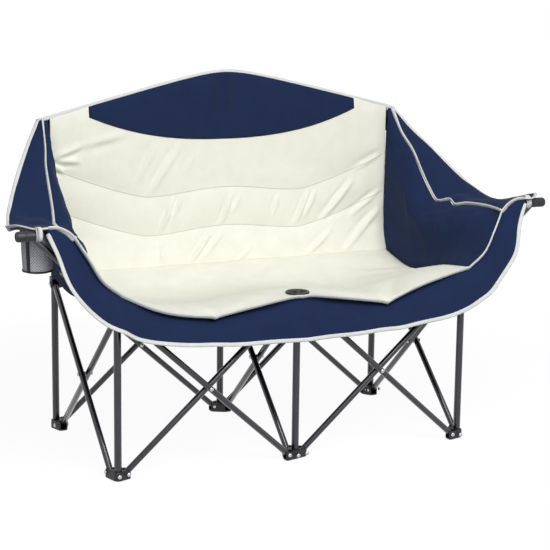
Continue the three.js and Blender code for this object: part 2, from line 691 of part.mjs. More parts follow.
const skirtEdge = curve(
  at(0, -SEAT_LIP - SKIRT_FLARE * 0.63, seatLevel - SKIRT_HEIGHT),
  at(FOOT_PITCH * 0.45, -SEAT_LIP - SKIRT_FLARE * 0.73, seatLevel - SKIRT_HEIGHT * 0.93),
  at(FOOT_PITCH * 0.73, -SEAT_LIP - SKIRT_FLARE * 0.83, seatLevel - SKIRT_HEIGHT * 0.81),
  at(FOOT_PITCH * 0.92, -SEAT_LIP - SKIRT_FLARE * 0.94, seatLevel - SKIRT_HEIGHT * 0.66),
  at(FOOT_PITCH * 1.02, -SEAT_LIP - SKIRT_FLARE, seatLevel - SKIRT_HEIGHT * 0.41),
  at(FOOT_PITCH * 1.11, -SEAT_LIP - SKIRT_FLARE, seatLevel - SKIRT_HEIGHT * 0.04),
  at(FOOT_PITCH * 1.23, -SEAT_LIP - SKIRT_FLARE * 0.79, seatLevel + SKIRT_HEIGHT * 0.7),
  at(FOOT_PITCH * 1.29, -SEAT_LIP - SKIRT_FLARE * 0.3, seatLevel + SKIRT_HEIGHT * 1.38),
  skirtTip,
);

// A right-hand curve joined with its mirror at the middle, from the left end to the right.
function bothSides(half) {
  return (t) => {
    const point = half(Math.abs(2 * t - 1));
    if (t < 0.5) point.x *= -1;
    return point;
  };
}

// Two curves run one after the other, the first for a share of the way.
function joined(first, second, share) {
  return (t) => (t < share ? first(t / share) : second((t - share) / (1 - share)));
}

const rim = joined(seatFront, armFront, 0.72);
const frontSeam = joined(rim, (t) => wingFront(t * WING_SEWN), 0.935);

function addSeat() {
  const front = bothSides(seatFront);
  const rear = (t) => at(mix(-BACK_HALF_WIDTH, BACK_HALF_WIDTH, t), creaseDepth, crease);
  const right = seatSide;
  const left = (v) => right(v).multiply(at(-1, 1, 1));
  const spanned = sheetBetween(front, rear, left, right);
  const slung = (u, v) => spanned(u, v).add(at(0, 0, -SEAT_SLACK * SEAT_SAG * swell(u) * swell(v) * v));
  const sheet = trimmed(slung, [pipingGap, seamGap, seamGap, seamGap]);
  const middle = at(0, 0, seatLevel);
  const tuftRadius = reachDeep + EAR_TIP + BUTTON_RADIUS;
  const tuft = (point) => 1 - Math.exp(-((point.distanceTo(middle) / tuftRadius) ** 6));
  const padding = PAD_THICKNESS - CLOTH;
  const thickness = (u, v) => CLOTH + padding * swell(u) * swell(v) ** SWELL_POWER * tuft(sheet(u, v));
  const pad = solidOf(thickened(sheet, ...SEAT_CELLS, thickness));
  const studHole = boreFor(BUTTON_STUD_RADIUS, ROUND_SIDES);
  const stud = rod(at(0, 0, 0), at(0, 0, 2 * seatLevel), studHole, ROUND_SIDES);
  place("seat_pad", geometryOf(pad.subtract(stud)), CREAM);
}

// The button stands on the hub with its stud through the seat.
function addSeatButton() {
  const under = seatLevel + CLOTH;
  const profile = [
    [0, hubTop + FIT],
    [BUTTON_STUD_RADIUS, hubTop + FIT],
    [BUTTON_STUD_RADIUS, under],
    [BUTTON_RADIUS - BUTTON_EDGE, under],
    [BUTTON_RADIUS, under + BUTTON_EDGE],
    [BUTTON_RADIUS, under + BUTTON_RIM - BUTTON_EDGE],
    [BUTTON_RADIUS - BUTTON_EDGE, under + BUTTON_RIM],
    [BUTTON_RADIUS * BUTTON_GROOVE.from, under + BUTTON_RIM],
    [BUTTON_RADIUS * BUTTON_GROOVE.floorFrom, under + BUTTON_RIM - BUTTON_GROOVE.depth],
    [BUTTON_RADIUS * BUTTON_GROOVE.floorTo, under + BUTTON_RIM - BUTTON_GROOVE.depth],
    [BUTTON_RADIUS * BUTTON_GROOVE.to, under + BUTTON_RIM + BUTTON_DOME / 2],
    [0, under + BUTTON_RIM + BUTTON_DOME],
  ];
  place("seat_button", turned(profile, ROUND_SIDES), MOULDED);
}

// Heights on the backrest at a place across it: the top edge and the sewn channels.
const topFall = (way) => Math.hypot(way, BACK_PEAK_ROUND) - BACK_PEAK_ROUND;
const topEdge = (x) => mix(backPeak, backCornerTop, topFall(x / BACK_HALF_WIDTH) / topFall(1));
const channelSway = (x) => {
  const way = Math.abs(x) / BACK_HALF_WIDTH;
  const fold = 0.45;
  if (way < fold) return CHANNEL_MIDDLE_RISE * (1 - way / fold) ** 2;
  return CHANNEL_SIDE_RISE * ((way - fold) / (1 - fold)) ** 1.3;
};
const backLines = [
  () => crease,
  ...CHANNEL_HEIGHTS.map((height) => (x) => crease + height + channelSway(x)),
  topEdge,
];
const backDepth = (z) => mix(creaseDepth, backPlane, Math.min((z - crease) / CHANNEL_HEIGHTS[0], 1));

// How thick the backrest is at a place: puffed between its sewn lines and drawn in at its sides.
function backThickness(x, z) {
  const edge = swell(0.5 + x / (2 * BACK_HALF_WIDTH)) ** 0.5;
  const band = backLines.findIndex((line, n) => n > 0 && z <= line(x));
  if (band < 1) return CLOTH;
  const [low, high] = [backLines[band - 1](x), backLines[band](x)];
  return CLOTH + (PAD_THICKNESS - CLOTH) * edge * swell((z - low) / (high - low));
}

function addBackrest() {
  const bands = backLines.length - 1;
  const spanned = (u, v) => {
    const x = mix(-BACK_HALF_WIDTH, BACK_HALF_WIDTH, u);
    const band = Math.min(Math.floor(v * bands), bands - 1);
    const z = mix(backLines[band](x), backLines[band + 1](x), v * bands - band);
    return at(x, backDepth(z), z);
  };
  const sheet = trimmed(spanned, [seamGap, pipingGap, seamGap, seamGap]);
  const thickness = (u, v) => {
    const point = sheet(u, v);
    return backThickness(point.x, point.z);
  };
  place("backrest_pad", thickened(sheet, ...BACK_CELLS, thickness), CREAM);
}

// The facing across the top of the backrest, cut to a curve below and square at its ends.
function addYoke() {
  const low = (x) => {
    const way = (Math.abs(x) / YOKE_HALF_WIDTH) ** 2.4;
    return mix(backPeak - YOKE_DROP, topEdge(YOKE_HALF_WIDTH) - YOKE_END_HEIGHT, way);
  };
  const sheet = (u, v) => {
    const x = mix(-YOKE_HALF_WIDTH, YOKE_HALF_WIDTH, u);
    const z = mix(low(x), topEdge(x) - pipingGap - seamGap, v);
    const front = backDepth(z) - backThickness(x, z) / 2;
    return at(x, front - CLOTH / 2 - 2 * FIT, z);
  };
  place("back_yoke", thickened(sheet, ...YOKE_CELLS, () => CLOTH), NAVY);
}

// Pockets behind the backrest that slip over the post tops.
function addPockets() {
  for (const column of Object.keys(COLUMNS)) {
    const top = (column === "middle" ? MIDDLE_POST_TOP : CORNER_POST_TOP) + FIT;
    const profile = [
      [0, top],
      [pocketBore, top],
      [pocketBore, top - POCKET_LENGTH],
      [pocketRadius, top - POCKET_LENGTH],
      [pocketRadius, top + POCKET_WALL],
      [0, top + POCKET_WALL],
    ];
    place(`${column}_post_pocket`, turned(profile, ROUND_SIDES), NAVY, standAt([column, "rear"]));
  }
}

// The padded panel from the seat up to the arm seam, and the wing from there out to the bound edge.
function addSides() {
  const rear = joined(backSide, (t) => backCorner.clone().lerp(shoulder, t), 0.95);
  const flat = sheetBetween(seatSide, armSeam, armFront, rear);
  const bulged = (u, v) => {
    const bulge = SIDE_BULGE * Math.sin(Math.PI * u ** 0.6) ** 1.5 * Math.sin(Math.PI * v ** 2);
    return flat(u, v).add(at(-bulge, 0, 0));
  };
  const panel = trimmed(bulged, [seamGap, seamGap, pipingGap, seamGap]);
  const padding = SIDE_PAD_THICKNESS - CLOTH;
  const panelGeometry = thickened(panel, ...PANEL_CELLS, (u, v) => CLOTH + padding * swell(u) * swell(v));
  const rearEdge = (v) => shoulder.clone().lerp(wingCorner, v);
  const wingGaps = [2 * seamGap, 1.3 * pipingGap, 0.82 * pipingGap, 6 * pipingGap];
  const wing = trimmed(sheetBetween(armSeam, wingEdge, wingFront, rearEdge), wingGaps);
  const wingGeometry = thickened(wing, ...WING_CELLS, () => CLOTH);
  const cupAt = at(FOOT_PITCH + CUP_OUT, CUP_BACK, 0);
  const hole = rod(cupAt, cupAt.clone().setZ(2 * wingTip.z), CUP_RADIUS - CUP_WALL, ROUND_SIDES);
  const holedGeometry = geometryOf(solidOf(wingGeometry).subtract(hole));
  for (const [name, way] of [["left", -1], ["right", 1]]) {
    place(`${name}_side_panel`, panelGeometry, NAVY).scale.x = way;
    place(`${name}_arm_wing`, way < 0 ? holedGeometry : wingGeometry, NAVY).scale.x = way;
  }
  addCupHolder(wing, cupAt);
}

// A net cup that hangs from the hole in the left wing, cut to the wing's underside.
function addCupHolder(wing, cupAt) {
  const top = wingTip.z + CUP_RADIUS;
  const bottom = wingTip.z - WING_DIP - CUP_DEPTH;
  const profile = [
    [0, bottom],
    [CUP_FOOT_RADIUS, bottom],
    [CUP_RADIUS, bottom + CUP_DEPTH],
    [CUP_RADIUS, top],
    [CUP_RADIUS - CUP_WALL, top],
    [CUP_RADIUS - CUP_WALL, bottom + CUP_DEPTH],
    [CUP_FOOT_RADIUS - CUP_WALL, bottom + CUP_WALL],
    [0, bottom + CUP_WALL],
  ];
  const cup = solidOf(turned(profile, ROUND_SIDES).translate(cupAt.x, cupAt.y, 0));
  const above = (u, v) => wing(u, v).add(at(0, 0, CUP_RADIUS));
  const cover = solidOf(thickened(above, ...WING_CELLS, () => 2 * (CUP_RADIUS + CLOTH / 2 + 2 * FIT), DOWN));
  place("cup_holder", geometryOf(cup.subtract(cover)), NET).scale.x = -1;
}

// The crescent that hangs from the front seam, with soft folds.
function addSkirt() {
  const upper = bothSides(frontSeam);
  const lower = bothSides(skirtEdge);
  const folded = (u, v) => {
    const fold = SKIRT_FOLD * Math.sin(Math.PI * v) * (1 + Math.cos(2 * SKIRT_FOLDS * Math.PI * u)) / 2;
    const tuck = SKIRT_TUCK * Math.sin(Math.PI * v ** 0.65) ** 2 * swell(u);
    return upper(u).lerp(lower(u), v).add(at(0, tuck - fold, 0));
  };
  const sheet = trimmed(folded, [1.8 * pipingGap, 1.4 * pipingGap, 0, 0]);
  place("front_skirt", thickened(sheet, ...SKIRT_CELLS, () => CLOTH), NAVY);
}

// The tape round the free edges and the piping along the front seam.
function addEdges() {
  const top = (t) => at(t * wingCorner.x, mix(backPlane, wingCorner.y, t ** 8), topEdge(t * BACK_HALF_WIDTH));
  const upper = joined(top, (t) => wingEdge(1 - t), 0.5);
  place("upper_binding", piping(bothSides(upper), UPPER_BINDING_STEPS), TAPE);
  place("skirt_binding", piping(bothSides(skirtEdge), SKIRT_BINDING_STEPS), TAPE);
  place("front_piping", piping(bothSides(frontSeam), FRONT_PIPING_STEPS), TAPE);
}

addUprights();
addBars();
addCrossRivets();
addArmCaps();
addSeat();
addSeatButton();
addBackrest();
addYoke();
addPockets();
addSides();
addSkirt();
addEdges();

// The origin is under the middle of the chair, on the ground.
const middle = new THREE.Box3().setFromObject(chair).getCenter(new THREE.Vector3());
chair.position.set(-middle.x, -middle.y, 0);
const loveseat = new THREE.Group();
loveseat.add(chair);

export default loveseat;
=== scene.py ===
"""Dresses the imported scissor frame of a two-seat folding camp chair: sewn bucket, tubes, joints, light and camera.

Every piece is in metres, in the frame's own axes. The chair faces -Y, and +X is on the right of its front view.
"""

from __future__ import annotations

import json
import logging
import math
from bisect import bisect_right
from collections.abc import Callable, Iterable, Iterator, Sequence
from contextlib import contextmanager
from dataclasses import dataclass, field, replace
from enum import Enum
from functools import cached_property
from itertools import accumulate, pairwise

import bmesh
import bpy
from mathutils import Matrix, Vector, noise
from mathutils.bvhtree import BVHTree
from mathutils.kdtree import KDTree
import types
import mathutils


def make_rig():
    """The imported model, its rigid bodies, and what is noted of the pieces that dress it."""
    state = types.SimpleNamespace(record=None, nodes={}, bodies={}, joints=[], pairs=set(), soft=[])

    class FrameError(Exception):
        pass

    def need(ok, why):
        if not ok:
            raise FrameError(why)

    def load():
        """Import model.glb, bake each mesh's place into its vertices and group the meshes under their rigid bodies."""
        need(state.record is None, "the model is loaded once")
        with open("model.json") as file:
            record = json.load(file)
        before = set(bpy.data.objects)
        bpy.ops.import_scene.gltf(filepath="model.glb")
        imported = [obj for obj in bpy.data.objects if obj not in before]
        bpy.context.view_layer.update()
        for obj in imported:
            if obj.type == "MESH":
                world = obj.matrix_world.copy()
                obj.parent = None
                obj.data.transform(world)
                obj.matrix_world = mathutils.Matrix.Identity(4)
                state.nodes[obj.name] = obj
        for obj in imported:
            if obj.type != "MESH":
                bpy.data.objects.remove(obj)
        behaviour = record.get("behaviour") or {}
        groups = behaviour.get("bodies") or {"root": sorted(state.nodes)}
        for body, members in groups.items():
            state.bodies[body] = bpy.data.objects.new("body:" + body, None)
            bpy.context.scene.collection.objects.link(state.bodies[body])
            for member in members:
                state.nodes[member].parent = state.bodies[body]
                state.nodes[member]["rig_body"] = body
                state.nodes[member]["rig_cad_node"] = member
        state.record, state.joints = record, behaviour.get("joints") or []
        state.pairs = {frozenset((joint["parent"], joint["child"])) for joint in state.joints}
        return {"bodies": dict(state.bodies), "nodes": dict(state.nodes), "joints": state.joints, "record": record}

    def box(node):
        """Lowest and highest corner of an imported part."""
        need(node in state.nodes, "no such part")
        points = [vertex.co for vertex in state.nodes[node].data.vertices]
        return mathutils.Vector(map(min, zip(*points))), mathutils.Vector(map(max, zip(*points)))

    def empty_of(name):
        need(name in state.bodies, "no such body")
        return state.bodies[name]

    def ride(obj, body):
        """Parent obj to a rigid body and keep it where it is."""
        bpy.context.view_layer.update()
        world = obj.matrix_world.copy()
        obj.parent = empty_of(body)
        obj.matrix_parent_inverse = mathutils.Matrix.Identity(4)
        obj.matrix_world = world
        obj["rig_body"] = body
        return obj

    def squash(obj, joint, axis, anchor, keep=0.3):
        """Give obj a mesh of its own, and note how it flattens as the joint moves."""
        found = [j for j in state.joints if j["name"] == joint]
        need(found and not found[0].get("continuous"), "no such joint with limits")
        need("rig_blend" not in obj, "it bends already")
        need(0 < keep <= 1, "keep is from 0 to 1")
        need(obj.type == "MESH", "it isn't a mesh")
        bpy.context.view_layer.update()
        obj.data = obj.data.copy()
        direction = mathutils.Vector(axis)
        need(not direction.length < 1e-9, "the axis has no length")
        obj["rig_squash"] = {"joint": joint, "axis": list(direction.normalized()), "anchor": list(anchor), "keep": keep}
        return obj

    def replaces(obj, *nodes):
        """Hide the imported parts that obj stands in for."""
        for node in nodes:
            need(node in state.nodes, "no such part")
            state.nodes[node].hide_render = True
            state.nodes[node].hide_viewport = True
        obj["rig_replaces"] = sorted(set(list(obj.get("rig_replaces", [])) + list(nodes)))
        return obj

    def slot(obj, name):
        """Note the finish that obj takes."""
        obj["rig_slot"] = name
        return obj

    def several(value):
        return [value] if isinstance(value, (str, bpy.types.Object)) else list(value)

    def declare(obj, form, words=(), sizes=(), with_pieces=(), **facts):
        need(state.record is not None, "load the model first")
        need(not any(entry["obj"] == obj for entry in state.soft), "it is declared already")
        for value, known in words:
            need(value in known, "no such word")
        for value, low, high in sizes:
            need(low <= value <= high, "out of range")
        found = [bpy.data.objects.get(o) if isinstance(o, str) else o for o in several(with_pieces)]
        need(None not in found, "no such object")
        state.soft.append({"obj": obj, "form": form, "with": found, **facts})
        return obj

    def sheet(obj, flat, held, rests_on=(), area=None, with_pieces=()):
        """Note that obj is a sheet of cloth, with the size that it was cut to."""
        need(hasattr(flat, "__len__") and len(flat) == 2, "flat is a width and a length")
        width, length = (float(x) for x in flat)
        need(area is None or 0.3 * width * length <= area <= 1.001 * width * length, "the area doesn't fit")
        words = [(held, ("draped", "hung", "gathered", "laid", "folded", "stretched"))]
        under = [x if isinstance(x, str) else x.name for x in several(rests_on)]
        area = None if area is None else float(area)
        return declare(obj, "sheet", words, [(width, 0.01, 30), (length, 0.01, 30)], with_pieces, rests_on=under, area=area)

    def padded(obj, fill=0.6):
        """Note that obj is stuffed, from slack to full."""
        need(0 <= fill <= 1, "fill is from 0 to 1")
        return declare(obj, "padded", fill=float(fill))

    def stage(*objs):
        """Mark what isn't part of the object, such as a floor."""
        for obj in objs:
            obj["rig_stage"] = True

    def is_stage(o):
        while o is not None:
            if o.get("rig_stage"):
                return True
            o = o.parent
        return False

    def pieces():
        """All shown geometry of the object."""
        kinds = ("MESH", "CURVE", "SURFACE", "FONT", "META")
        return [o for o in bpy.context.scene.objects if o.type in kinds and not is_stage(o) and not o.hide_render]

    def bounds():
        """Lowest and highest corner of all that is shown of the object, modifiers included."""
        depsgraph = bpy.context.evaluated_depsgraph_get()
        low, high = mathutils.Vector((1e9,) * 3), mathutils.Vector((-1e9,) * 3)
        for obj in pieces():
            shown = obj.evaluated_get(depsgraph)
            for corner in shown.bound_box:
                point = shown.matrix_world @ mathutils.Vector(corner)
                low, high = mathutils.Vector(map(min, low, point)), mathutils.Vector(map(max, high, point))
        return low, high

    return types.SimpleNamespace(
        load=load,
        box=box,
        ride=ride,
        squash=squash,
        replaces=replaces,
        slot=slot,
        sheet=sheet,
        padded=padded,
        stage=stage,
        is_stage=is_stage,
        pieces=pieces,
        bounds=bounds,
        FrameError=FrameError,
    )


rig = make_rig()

LOG = logging.getLogger("loveseat")
MM = 0.001
ACROSS = Vector((1.0, 0.0, 0.0))
DEEP = Vector((0.0, 1.0, 0.0))
UP = Vector((0.0, 0.0, 1.0))
FRONT = -DEEP
WELD = 1e-5
SIZE_FILE = "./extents.json"
STITCH_PITCH = 5 * MM
STITCH_RADIUS = 1.3 * MM
TAPE_SIZE = (0.0110, 0.0046)
SEAM_TAPE_SIZE = (0.0105, 0.0050)
ARM_TAPE_SIZE = (0.0135, 0.0050)

Span = tuple[float, float]
Line = Callable[[float], Vector]
Surface = Callable[[float, float], Vector]
Piece = bpy.types.Object
Shape = bmesh.types.BMesh
NodeTree = bpy.types.NodeTree
Socket = bpy.types.NodeSocket
Setting = float | int | str | bool | Sequence[float] | Socket


class Side(Enum):
    """The two ends of the chair, as a viewer of its front names them."""

    LEFT = "left"
    RIGHT = "right"

    @property
    def way(self) -> float:
        """The sign of X on this side."""
        return 1.0 if self is Side.RIGHT else -1.0

    def placed(self, line: Line) -> Line:
        """A right-hand line, mirrored where this is the left side."""
        return lambda t: Vector((self.way * line(t).x, line(t).y, line(t).z))


class Slot(Enum):
    """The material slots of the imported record."""

    STEEL = "steel_tube"
    MOULDED = "moulded_joint"
    RIVET = "rivet_steel"
    CREAM = "cream_canvas"
    NAVY = "navy_canvas"
    TAPE = "binding_tape"
    NET = "cup_net"


def linear(hex_colour: str) -> tuple[float, float, float, float]:
    """Turns an sRGB hex value to a linear colour.

    Args:
        hex_colour: Six hex digits after a hash.

    Returns:
        Linear red, green and blue, and full alpha.
    """
    channels = [int(hex_colour[i : i + 2], 16) / 255 for i in (1, 3, 5)]
    bent = [c / 12.92 if c <= 0.04045 else ((c + 0.055) / 1.055) ** 2.4 for c in channels]
    return (bent[0], bent[1], bent[2], 1.0)


def mix(low: float, high: float, share: float) -> float:
    """A number part of the way between two others."""
    return low + (high - low) * share


def swell(share: float) -> float:
    """How far padding fills out, part of the way from one seam to the next."""
    return max(math.sin(math.pi * share), 0.0) ** 0.8


def wire(tree: NodeTree, node: bpy.types.Node, **inputs: Setting) -> bpy.types.Node:
    """Sets or links a node's inputs.

    Args:
        tree: The tree that holds the node.
        node: The node.
        inputs: Values or sockets by input name, with an underscore for each space. A name such as in_0 is an index.

    Returns:
        The node.
    """
    for key, value in inputs.items():
        socket = node.inputs[int(key[3:])] if key.startswith("in_") else node.inputs[key.replace("_", " ")]
        if isinstance(value, Socket):
            tree.links.new(value, socket)
        else:
            socket.default_value = value
    return node


def add_node(tree: NodeTree, kind: str, settings: dict[str, str] | None = None,
             **inputs: Setting) -> bpy.types.Node:
    """Adds a node with its settings and links.

    Args:
        tree: The node tree that gets the node.
        kind: The node's type name.
        settings: Properties of the node itself.
        inputs: Its inputs, as for wire.

    Returns:
        The new node.
    """
    node = tree.nodes.new(kind)
    for key, value in (settings or {}).items():
        setattr(node, key, value)
    return wire(tree, node, **inputs)


# A wave texture runs through one band in this share of its scale.
WAVE_BAND = math.pi / 10


@dataclass(frozen=True)
class Finish:
    """A material by its common name and the way that its surface was made."""

    name: str
    colour: str
    shade: str
    roughness: float

    def surface(self, tree: NodeTree, shader: bpy.types.Node) -> None:
        """Adds what the eye sees of this finish to a shader."""
        raise NotImplementedError

    @property
    def material(self) -> bpy.types.Material:
        """The finish as a Blender material, made once.

        Returns:
            The material.
        """
        made = bpy.data.materials.get(self.name)
        if not made:
            made = bpy.data.materials.new(self.name)
            made.use_nodes = True
            shader = made.node_tree.nodes["Principled BSDF"]
            self.surface(made.node_tree, wire(made.node_tree, shader, Roughness=self.roughness))
        return made

    def tint(self, tree: NodeTree, share: Socket) -> Socket:
        """The colour between this finish's shade and its full colour.

        Args:
            tree: The material's nodes.
            share: How much of the full colour shows.

        Returns:
            The mixed colour.
        """
        shade, colour = linear(self.shade), linear(self.colour)
        return add_node(tree, "ShaderNodeMix", {"data_type": "RGBA"}, in_0=share, in_6=shade, in_7=colour).outputs[2]


@dataclass(frozen=True)
class WovenPolyester(Finish):
    """Plain-woven polyester canvas: matt, with a soft sheen, crossing threads and slight unevenness.

    The real threads lie 0.6 mm apart. They are drawn coarser, because so fine a weave doesn't show at this distance.
    """

    thread: float = 3.2 * MM
    thread_share: float = 0.12
    unevenness: float = 45 * MM
    relief: float = 0.35 * MM
    crumple: float = 1.4 * MM
    scuff: float = 0.06
    sheen: float = 0.08

    def surface(self, tree: NodeTree, shader: bpy.types.Node) -> None:
        """Weaves warp over weft along the cut of the cloth, on cloth that is a little uneven.

        Args:
            tree: The material's nodes.
            shader: The shader that they feed.
        """
        places = add_node(tree, "ShaderNodeTexCoord").outputs
        warp, weft = (
            add_node(tree, "ShaderNodeTexWave", {"bands_direction": way}, Vector=places["UV"],
                     Scale=WAVE_BAND / self.thread).outputs["Fac"]
            for way in "XY"
        )
        weave = add_node(tree, "ShaderNodeMath", {"operation": "MULTIPLY"}, in_0=warp, in_1=weft).outputs[0]
        patches = add_node(tree, "ShaderNodeTexNoise", Vector=places["Object"], Scale=1 / self.unevenness, Detail=4.0,
                           Roughness=0.55).outputs["Fac"]
        worn = add_node(tree, "ShaderNodeMapRange", Value=patches, From_Min=0.3, From_Max=0.7, To_Min=0.55, To_Max=1.0)
        share = add_node(tree, "ShaderNodeMath", {"operation": "MULTIPLY_ADD"}, in_0=weave, in_1=self.thread_share,
                         in_2=worn.outputs[0])
        rough = add_node(tree, "ShaderNodeMapRange", Value=patches, To_Min=self.roughness - self.scuff,
                         To_Max=self.roughness + self.scuff)
        crumple = add_node(tree, "ShaderNodeBump", Height=patches, Strength=0.4, Distance=self.crumple)
        bump = add_node(tree, "ShaderNodeBump", Height=weave, Strength=0.5, Distance=self.relief,
                        Normal=crumple.outputs[0])
        wire(tree, shader, Base_Color=self.tint(tree, share.outputs[0]), Roughness=rough.outputs[0],
             Normal=bump.outputs[0], Specular_IOR_Level=0.15, Sheen_Weight=self.sheen, Sheen_Roughness=0.5)


@dataclass(frozen=True)
class RibbedTape(Finish):
    """Woven edge tape: fine ribs across its length and a dry, chalky surface."""

    rib: float = 2.4 * MM
    rib_share: float = 0.3
    relief: float = 0.3 * MM
    soil: float = 1 / 30

    def surface(self, tree: NodeTree, shader: bpy.types.Node) -> None:
        """Lays ribs across the tape.

        Args:
            tree: The material's nodes.
            shader: The shader that they feed.
        """
        places = add_node(tree, "ShaderNodeTexCoord").outputs
        ribs = add_node(tree, "ShaderNodeTexWave", {"bands_direction": "X"}, Vector=places["UV"],
                        Scale=WAVE_BAND / self.rib).outputs["Fac"]
        soil = add_node(tree, "ShaderNodeTexNoise", Vector=places["Object"], Scale=1 / self.soil, Detail=3.0)
        share = add_node(tree, "ShaderNodeMath", {"operation": "MULTIPLY_ADD"}, in_0=ribs, in_1=self.rib_share,
                         in_2=soil.outputs["Fac"])
        bump = add_node(tree, "ShaderNodeBump", Height=ribs, Strength=0.5, Distance=self.relief)
        wire(tree, shader, Base_Color=self.tint(tree, share.outputs[0]), Normal=bump.outputs[0], Sheen_Weight=0.15)


@dataclass(frozen=True)
class KnittedNet(Finish):
    """Knitted polyester net: round holes in slanting rows, painted dark as painted shade of the cup's inside, since the
    net is drawn as a closed wall.
    """

    hole: float = 5.0 * MM
    relief: float = 0.8 * MM

    def surface(self, tree: NodeTree, shader: bpy.types.Node) -> None:
        """Crosses two slanting sets of yarns, and paints the holes between them dark as painted shade.

        Args:
            tree: The material's nodes.
            shader: The shader that they feed.
        """
        places = add_node(tree, "ShaderNodeTexCoord").outputs
        slant = add_node(tree, "ShaderNodeMapping", Vector=places["UV"], Rotation=(0, 0, math.pi / 4)).outputs[0]
        rows, lines = (
            add_node(tree, "ShaderNodeTexWave", {"bands_direction": way}, Vector=slant,
                     Scale=WAVE_BAND / self.hole).outputs["Fac"]
            for way in "XY"
        )
        yarn = add_node(tree, "ShaderNodeMath", {"operation": "MAXIMUM"}, in_0=rows, in_1=lines).outputs[0]
        # Painted shade: the gaps between the yarns take the dark shade colour, standing in for the shadowed inside of
        # the cup seen through the holes.
        yarn_and_hole_shade = add_node(tree, "ShaderNodeMapRange", Value=yarn, From_Min=0.35, From_Max=0.8).outputs[0]
        bump = add_node(tree, "ShaderNodeBump", Height=yarn_and_hole_shade, Strength=0.7, Distance=self.relief)
        wire(tree, shader, Base_Color=self.tint(tree, yarn_and_hole_shade), Normal=bump.outputs[0])


@dataclass(frozen=True)
class PowderCoat(Finish):
    """Powder-coated steel tube: satin, with a faint orange peel and dusty scuffs."""

    peel: float = 2.5 * MM
    relief: float = 0.08 * MM
    dust: float = 1 / 28
    scuff: Span = (-0.08, 0.12)

    def surface(self, tree: NodeTree, shader: bpy.types.Node) -> None:
        """Mottles the coat and scuffs its gloss.

        Args:
            tree: The material's nodes.
            shader: The shader that they feed.
        """
        places = add_node(tree, "ShaderNodeTexCoord").outputs["Object"]
        peel = add_node(tree, "ShaderNodeTexNoise", Vector=places, Scale=1 / self.peel, Detail=2.0).outputs["Fac"]
        scuffs = add_node(tree, "ShaderNodeTexNoise", Vector=places, Scale=1 / self.dust, Detail=6.0,
                          Roughness=0.7).outputs["Fac"]
        dust = add_node(tree, "ShaderNodeMapRange", Value=scuffs, From_Min=0.35, From_Max=0.75).outputs[0]
        rough = add_node(tree, "ShaderNodeMapRange", Value=scuffs, To_Min=self.roughness + self.scuff[0],
                         To_Max=self.roughness + self.scuff[1])
        bump = add_node(tree, "ShaderNodeBump", Height=peel, Strength=0.3, Distance=self.relief)
        wire(tree, shader, Base_Color=self.tint(tree, dust), Roughness=rough.outputs[0], Normal=bump.outputs[0],
             Metallic=0.3, Coat_Weight=0.6, Coat_Roughness=0.12)


@dataclass(frozen=True)
class MouldedNylon(Finish):
    """Moulded black nylon: an even spark-eroded grain and a dull shine."""

    grain: float = 1.6 * MM
    relief: float = 0.15 * MM
    handled: float = 1 / 35
    scuff: float = 0.1

    def surface(self, tree: NodeTree, shader: bpy.types.Node) -> None:
        """Grains the moulding and lets handled places shine a little.

        Args:
            tree: The material's nodes.
            shader: The shader that they feed.
        """
        places = add_node(tree, "ShaderNodeTexCoord").outputs["Object"]
        grain = add_node(tree, "ShaderNodeTexNoise", Vector=places, Scale=1 / self.grain, Detail=3.0).outputs["Fac"]
        handled = add_node(tree, "ShaderNodeTexNoise", Vector=places, Scale=1 / self.handled,
                           Detail=2.0).outputs["Fac"]
        rough = add_node(tree, "ShaderNodeMapRange", Value=handled, To_Min=self.roughness - self.scuff,
                         To_Max=self.roughness + self.scuff)
        bump = add_node(tree, "ShaderNodeBump", Height=grain, Strength=0.4, Distance=self.relief)
        wire(tree, shader, Base_Color=self.tint(tree, handled), Roughness=rough.outputs[0], Normal=bump.outputs[0])


@dataclass(frozen=True)
class ZincPlate(Finish):
    """Zinc-plated rivet steel: bright metal with a slightly clouded passivation."""

    cloud: float = 1 / 260
    scuff: Span = (-0.08, 0.1)

    def surface(self, tree: NodeTree, shader: bpy.types.Node) -> None:
        """Clouds the plating.

        Args:
            tree: The material's nodes.
            shader: The shader that they feed.
        """
        places = add_node(tree, "ShaderNodeTexCoord").outputs["Object"]
        cloud = add_node(tree, "ShaderNodeTexNoise", Vector=places, Scale=1 / self.cloud, Detail=3.0).outputs["Fac"]
        rough = add_node(tree, "ShaderNodeMapRange", Value=cloud, To_Min=self.roughness + self.scuff[0],
                         To_Max=self.roughness + self.scuff[1])
        wire(tree, shader, Base_Color=self.tint(tree, cloud), Roughness=rough.outputs[0], Metallic=1.0)


CREAM = WovenPolyester("cream_polyester", "#F2F2E5", "#E6E6D7", 0.9)
NAVY = WovenPolyester("navy_polyester", "#1D2B4D", "#16213F", 0.85, sheen=0.01)
TAPE = RibbedTape("white_edge_tape", "#E4E6E4", "#CBCDCA", 0.8)
BLACK_TAPE = RibbedTape("black_edge_tape", "#1E1E23", "#121216", 0.75)
# Real thread, drawn much darker than the cream cloth so that each channel row reads as its shaded groove: thread colour
# and painted shade together.
CREAM_THREAD_AND_SEAM_SHADE = RibbedTape("cream_thread", "#B4B2A2", "#A09E8E", 0.8)
# Near-black thread on the navy facing, darker than the real thread so that the pocket and hem rows read as shaded
# grooves: thread colour and painted shade together.
NAVY_THREAD_AND_SEAM_SHADE = RibbedTape("navy_thread", "#0B101E", "#070A14", 0.9)
# The net's dark shade colour is painted shade for its holes.
NET = KnittedNet("grey_net", "#E4E5EA", "#94959E", 0.8)
STEEL = PowderCoat("powder_coated_tube", "#2B2C36", "#212229", 0.2)
NYLON = MouldedNylon("black_nylon", "#15151A", "#0E0E12", 0.45)
ZINC = ZincPlate("zinc_plate", "#C9CBCF", "#A9ABB0", 0.3)


